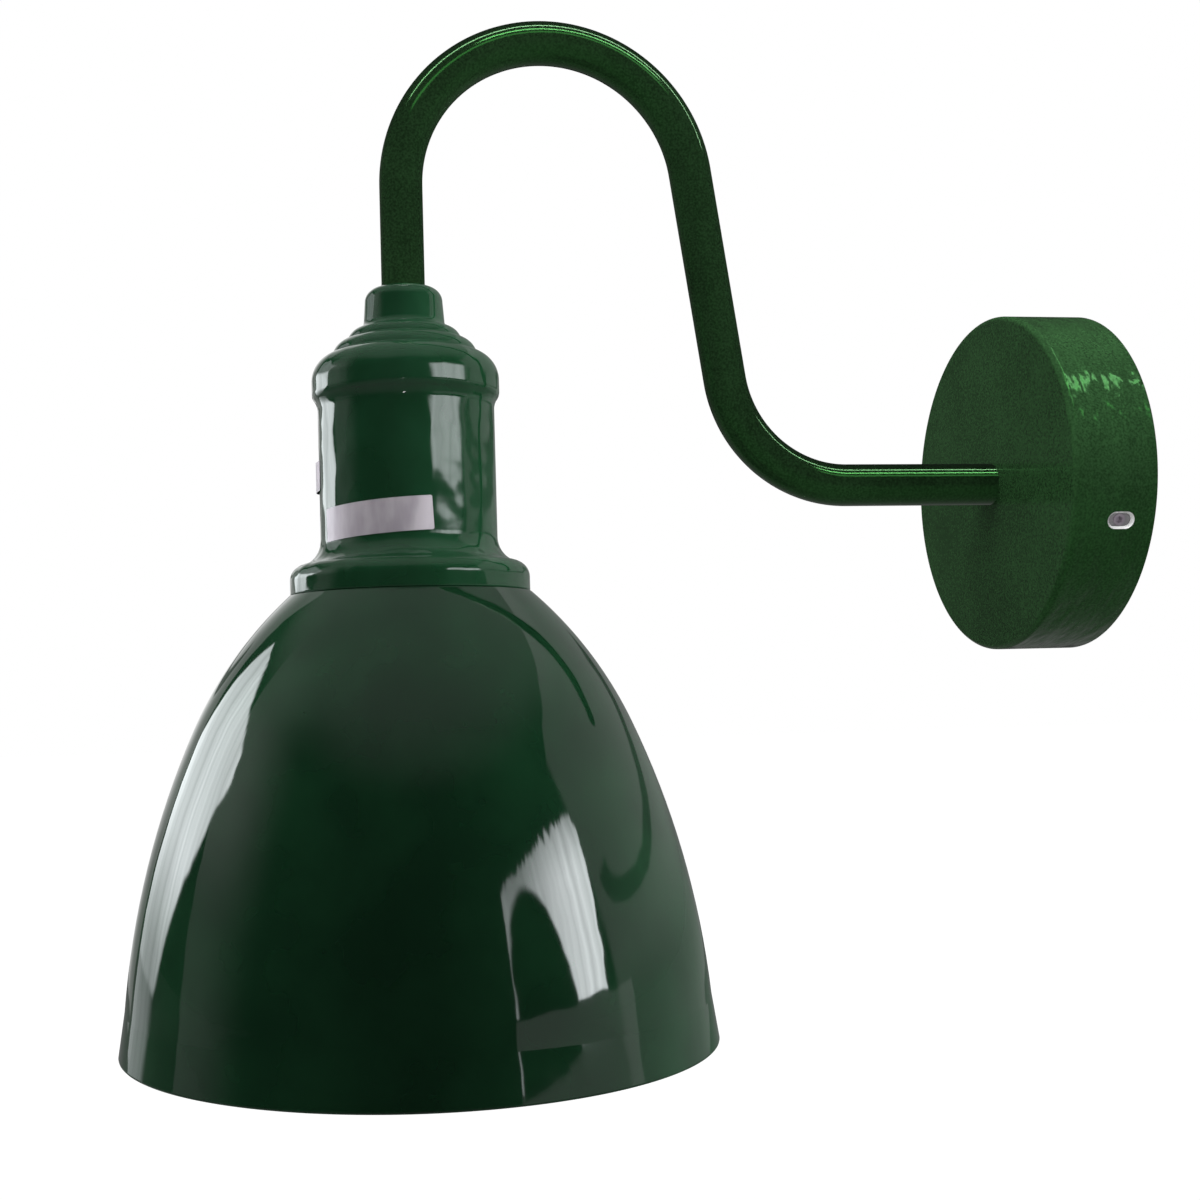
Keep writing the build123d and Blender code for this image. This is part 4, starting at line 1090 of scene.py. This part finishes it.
def make_floor():
    """A flat sheet under the light, which isn't part of the object."""
    mesh = bmesh.new()
    bmesh.ops.create_grid(mesh, x_segments=1, y_segments=1, size=FLOOR_SIZE / 2,
                          matrix=Matrix.Translation((0, AXIS_Y, FLOOR_Z)))
    finish = Finish("pale_floor")
    place = finish.place
    centre = place.centred((0, AXIS_Y, FLOOR_Z))
    away = centre.node("ShaderNodeVectorMath", {"operation": "LENGTH"}, {0: centre}, out="Value")
    seen = rays(place, "Is Camera Ray", "Is Transmission Ray")
    shine = rays(place, "Is Glossy Ray") * FLOOR_SHEEN
    from_below = place.node("ShaderNodeNewGeometry", out="Backfacing")
    finish.wear(
        Base_Color=place.noise(6, 2).mix(*FLOOR_PAINT),
        Roughness=0.9,
        Specular_IOR_Level=0.0,
        Alpha=1 - from_below,
        Emission_Color=away.smooth(FADE_FROM, FADE_TO).mix(FLOOR_NEAR, WHITE),
        Emission_Strength=place.maths("MAXIMUM", seen, shine))
    floor = object_from(mesh, "floor", [finish.material])
    floor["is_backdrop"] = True
    return floor


floor = make_floor()
print("floor at %.2f m" % FLOOR_Z)

# %% [markdown]
# ## Which lamps light what
# The head shows two windows and dim walls, while thin bright lines run along the arm and over the rose. One
# set of lamps for all would put the lines on the cup and the windows on the tube. A photographer would flag
# each lamp off with a card. Light linking does that here: a lamp lights only the pieces of one collection,
# so each piece goes into the collections of its lamps. The rose and the small pieces in it are kept out of
# the reflections, because the head would otherwise mirror them in the middle of a wall.

# %% Which lamps light what
CUP_PIECES = ("lamp_cup", "long_label", "short_label")
lit = {name: bpy.data.collections.new(name)
       for name in ("head", "shade", "cup", "arm", "tube", "rose", "floor")}
for item in bpy.data.objects:
    if item.type != "MESH" or item == floor:
        continue
    if item == arm or item.name in ROSE_PIECES:
        lit["arm"].objects.link(item)
    else:
        lit["head"].objects.link(item)
        lit["cup" if item.name in CUP_PIECES else "shade"].objects.link(item)
lit["tube"].objects.link(arm)
lit["rose"].objects.link(rose)
lit["floor"].objects.link(floor)
for name in ROSE_PIECES:
    bpy.data.objects[name].visible_glossy = False

# %% [markdown]
# ## Soft boxes
# A gloss finish mirrors its lamps as shapes. So each lamp is a soft box given by what shows in the mirror:
# its direction from the head, its size as seen from there in degrees, and its brightness. An area lamp
# spreads its energy over its face, so the energy is worked out from the brightness and the area, and a box
# can grow without getting dimmer.

# %% Soft boxes
HEAD_CENTRE = Vector((0, AXIS_Y, SEAT_Z))
COOL = (0.93, 0.98, 1.0)                             # daylight from a clear sky
BOX_DISTANCE = 2.4


def area_lamp(name, lights, place, aim, width, height, brightness, colour=(1, 1, 1)):
    """Area lamp at a place, turned by aim, that lights one collection; its sides are in metres."""
    light = bpy.data.lights.new(name, "AREA")
    light.shape = "RECTANGLE"
    light.size, light.size_y = width, height
    light.energy = brightness * math.pi * width * height
    light.color = colour
    lamp = bpy.data.objects.new(name, light)
    lamp.location, lamp.rotation_euler = place, aim
    lamp.visible_camera = False
    lamp.light_linking.receiver_collection = lit[lights]
    bpy.context.scene.collection.objects.link(lamp)
    return lamp


def softbox(name, lights, azimuth, elevation, wide, high, brightness, colour=(1, 1, 1),
            distance=BOX_DISTANCE):
    """Lamp seen from the head at a direction and with a size, all in degrees, from +X towards +Y and up."""
    across, up = math.radians(azimuth), math.radians(elevation)
    way = Vector((math.cos(across) * math.cos(up), math.sin(across) * math.cos(up), math.sin(up)))
    width, height = [2 * distance * math.tan(math.radians(angle) / 2) for angle in (wide, high)]
    aim = (-way).to_track_quat("-Z", "Y").to_euler()
    return area_lamp(name, lights, HEAD_CENTRE + way * distance, aim, width, height, brightness, colour)


print("soft boxes stand %.1f m away" % BOX_DISTANCE)

# %% [markdown]
# A window isn't an even rectangle. A picture on the lamp could shape it, but a few sums do as well, with
# the same Field class as the finishes. A mask gets two fields, u across the lamp's face and v up it, both
# 0 to 1, and returns the brightness there. So the numbers in a mask are places on its lamp's face, or how
# soft an edge is there.

# %% Shaped lamps
def shaped(lamp, mask):
    """Give a lamp a brightness over its face; u runs with azimuth and v runs up, 0 to 1."""
    lamp.data.use_nodes = True
    tree = lamp.data.node_tree
    face = Field(tree).node("ShaderNodeNewGeometry", out="Parametric")
    u = face.node("ShaderNodeSeparateXYZ", {}, {"Vector": face}, out="X")
    v = face.node("ShaderNodeSeparateXYZ", {}, {"Vector": face}, out="Y")
    plug(tree, tree.nodes["Emission"].inputs["Strength"], mask(u, v))
    return lamp


def streaks(u, scale):
    """Noise of 0 to 1 that changes only across a lamp, like the folds of a curtain."""
    return u.node("ShaderNodeTexNoise", {"noise_dimensions": "1D"}, {"W": u, "Scale": scale})


def oval(across, up):
    """1 on the edge of an oval, less inside; both distances are shares of its half widths."""
    return across * across + up * up


print("a mask gives a lamp its brightness over u and v")

# %% [markdown]
# ## Two windows
# The head mirrors a tall cool window behind its left shoulder and a lower one to the front right. The cup
# is a third of the shade's width and upright, so the same room makes other shapes in it: the left window
# has its blind drawn, and the right one is an upright stripe. One pair of lamps for both pieces would give
# the cup broken edges, so it has its own. A small round lamp beside the camera puts a spark on its bead.

# %% Windows
def left_window_mask(u, v):
    """A leaf shape: slanted top, narrower below, brighter to one side, with the folds of a blind."""
    top = u.maths("MINIMUM", 0.47 + u * 1.74, 1.18 - u * 0.37) + streaks(u, 30.0) * 0.04
    narrow = (0.43 + v * 0.79 + streaks(v, 9.0) * 0.06 - u).smooth(0.0, 0.05)
    pane = narrow * v.smooth(0.1, 0.14) * (0.35 + v.smooth(0.14, 0.45) * 0.65)
    below = (1 - u.smooth(0.4, 0.55)) * 0.2
    across = (0.55 + u.smooth(0.3, 0.7) * 0.45) * (0.6 + streaks(u, 14.0) * 0.8)
    return (top - v).smooth(0.0, 0.05) * v.maths("MAXIMUM", pane, below) * across


def cup_left_mask(u, v):
    """The same window on the cup, with a blind drawn over its upper part."""
    return left_window_mask(u, v) * (1 - v.smooth(0.54, 0.64) * 0.8)


def right_window_mask(u, v):
    """A ragged top, curtain folds, and a dark arch that fills its lower left."""
    top = u.maths("MINIMUM", 0.8 + u * 0.22, 1.9 - u) - streaks(u, 24.0) * 0.12 + 0.04
    arch = oval((u - 0.33 + v * 0.16) / 0.3, v / 0.68).smooth(0.92, 1.12)
    glare = (0.3 + u.smooth(0.15, 0.75) * 0.7) * (1 - v.smooth(0.6, 1.0) * 0.6)
    return (top - v).smooth(0.0, 0.05) * arch * glare * (0.7 + streaks(u + v * 0.08, 17.0) * 0.6)


def stripe_mask(u, v):
    """An upright stripe with uneven sides."""
    left = (u + streaks(v, 7.0) * 0.12).smooth(0.08, 0.2)
    right = (1 - u + streaks(v, 11.0) * 0.12).smooth(0.05, 0.3)
    ends = v.smooth(0.0, 0.12) * (1 - v.smooth(0.7, 1.0) * 0.7)
    return left * right * ends * (0.55 + streaks(u, 9.0) * 0.9)


# name, what it lights, azimuth, elevation, width and height in degrees, brightness
shaped(softbox("left_window", "shade", -128, 11.5, 42, 47, 7.0, COOL), left_window_mask)
shaped(softbox("cup_left_window", "cup", -128, 11.5, 42, 47, 7.0, COOL), cup_left_mask)
shaped(softbox("right_window", "shade", 48, 12, 40, 26, 13.0, COOL), right_window_mask)
shaped(softbox("cup_window", "cup", 46, 13.8, 46, 12, 6.0, COOL, distance=1.5), stripe_mask)
softbox("beside_camera", "cup", -6, -5, 1.2, 1.2, 120.0, distance=0.6).data.shape = "DISK"
print("windows for the shade and for the cup")

# %% [markdown]
# ## Walls and ceiling
# Between the windows the enamel isn't black. It mirrors dim walls, which end at the level of the lamp, a
# pale sill under the right window and a round glow overhead. They could be real walls that the lamps light,
# but then each window would change them. As wide, dim soft boxes they can be set one at a time.

# %% Walls and ceiling
def wall_mask(u, v):
    """A wall that is darker below the level of the lamp and at its far end, with a dark hook on it."""
    ring = 1 - abs(oval((u - 0.42) / 0.3, (v - 0.5) / 0.15) - 1).smooth(0.2, 0.35)
    hook = ring * (1 - v.smooth(0.5, 0.53)) * 0.8
    light = (0.55 + v.smooth(0.12, 0.3) * 0.45) * (1.15 - u.smooth(0.3, 0.9) * 0.7)
    return light * (1 - hook) * u.smooth(0.0, 0.05)


def fading_wall_mask(u, v):
    """A wall that falls into shade towards the camera's side."""
    return (0.4 + v.smooth(0.2, 0.42) * 0.6) * (1 - u.smooth(0.25, 0.95)) * (1 - v.smooth(0.4, 0.85))


def ceiling_mask(u, v):
    """A round glow overhead with a soft edge."""
    return 1 - oval(u - 0.5, v - 0.5).smooth(0.026, 0.155)


shaped(softbox("right_wall", "head", 119, 17, 98, 58, 0.47), wall_mask)
shaped(softbox("left_wall", "head", -166, 17, 32, 58, 0.9), wall_mask)
shaped(softbox("side_wall", "head", -88, 29, 44, 74, 0.6), fading_wall_mask)
shaped(softbox("ceiling", "head", 0, 90, 124, 124, 0.34), ceiling_mask)
softbox("sill", "head", 54, -6.5, 52, 10, 0.5)
softbox("rose_wall", "arm", -154, 5, 40, 50, 0.05)
print("walls, sill and ceiling")

# %% [markdown]
# ## Lines along the arm
# The bright lines on the tube keep to its top round every bend. A box near the arm would leave the tube
# where it turns away, but a tube light under the ceiling that runs the way the arm does is mirrored as one
# unbroken line. Three of them at different distances give the lines of the arch, and three more break up
# in the waves of the rose's side.

# %% Ceiling strips
CEILING = 1.6


def ceiling_strip(name, lights, x_from, x_to, y_from, y_to, brightness):
    """Tube light under the ceiling, over a stretch of X and of Y, that shines straight down."""
    middle = ((x_from + x_to) / 2, (y_from + y_to) / 2, CEILING)
    return area_lamp(name, lights, middle, (0, 0, 0), x_to - x_from, y_to - y_from, brightness)


# name, what it lights, X from and to, Y from and to in metres, brightness
ceiling_strip("near_strip", "tube", 0.11, 0.21, -1.4, 2.6, 18.0)
ceiling_strip("far_strip", "tube", 0.77, 0.93, -0.35, 1.1, 20.0)
ceiling_strip("faint_strip", "tube", 1.39, 1.81, -1.2, 1.2, 3.0)
ceiling_strip("rose_strip", "rose", 0.72, 0.97, -0.35, 1.1, 6.5)
ceiling_strip("faint_rose_strip", "rose", 1.77, 2.03, -0.35, 1.1, 4.0)
ceiling_strip("rose_edge_strip", "rose", 0.1, 2.4, -0.28, -0.03, 7.0)
print("strips at %.1f m" % CEILING)

# %% [markdown]
# ## Fill light
# Windows bright enough to mirror well would flood the paint. So the lamps up to here are only mirrored,
# and a second set lights only the paint's own colour. With both kinds of ray switched per lamp, each part
# of the object can be brought to its colour without a new highlight. One more stands under the rim, close
# enough to reach up into the shade.

# %% Fills
for item in bpy.data.objects:
    if item.type == "LIGHT":
        item.visible_diffuse = False
FILL_WIDE = 50             # degrees
FILLS = {                  # what it lights, azimuth, elevation, brightness
    "top_fill": ("head", 180, 84, 7.6), "right_fill": ("head", 96, 5, 11.5),
    "left_fill": ("head", -108, 5, 5.0), "cup_front_fill": ("cup", -10, 5, 2.0),
    "cup_right_fill": ("cup", 60, 5, 5.5), "arm_fill": ("arm", -10, -5, 2.7),
    "arm_left_fill": ("arm", -95, 8, 2.6), "back_fill": ("arm", 140, 5, 6.0),
    "rose_top_fill": ("rose", 0, 80, 9.0),
    "tube_right_fill": ("tube", 60, 0, 3.0), "tube_low_fill": ("tube", -6, -35, 2.2),
    "floor_light": ("floor", 180, 86, 3.2)}
for name, (lights, azimuth, elevation, brightness) in FILLS.items():
    softbox(name, lights, azimuth, elevation, FILL_WIDE, FILL_WIDE, brightness).visible_glossy = False
softbox("inside_fill", "shade", 0, -90, FILL_WIDE, FILL_WIDE, 2.6, distance=0.45).visible_glossy = False

# %% [markdown]
# The plain Standard view shows colours as they are written. The box of the finished object is compared
# with the imported one, to show by how much the looks grow past the construction.

# %% Finish
bpy.context.scene.view_settings.view_transform = "Standard"
visual_box = [list(corner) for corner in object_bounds()]
growth = [round((seen - packed) / MM, 2) for seen, packed in zip(sum(visual_box, []), sum(cad_box, []))]
print("box grows by", growth)
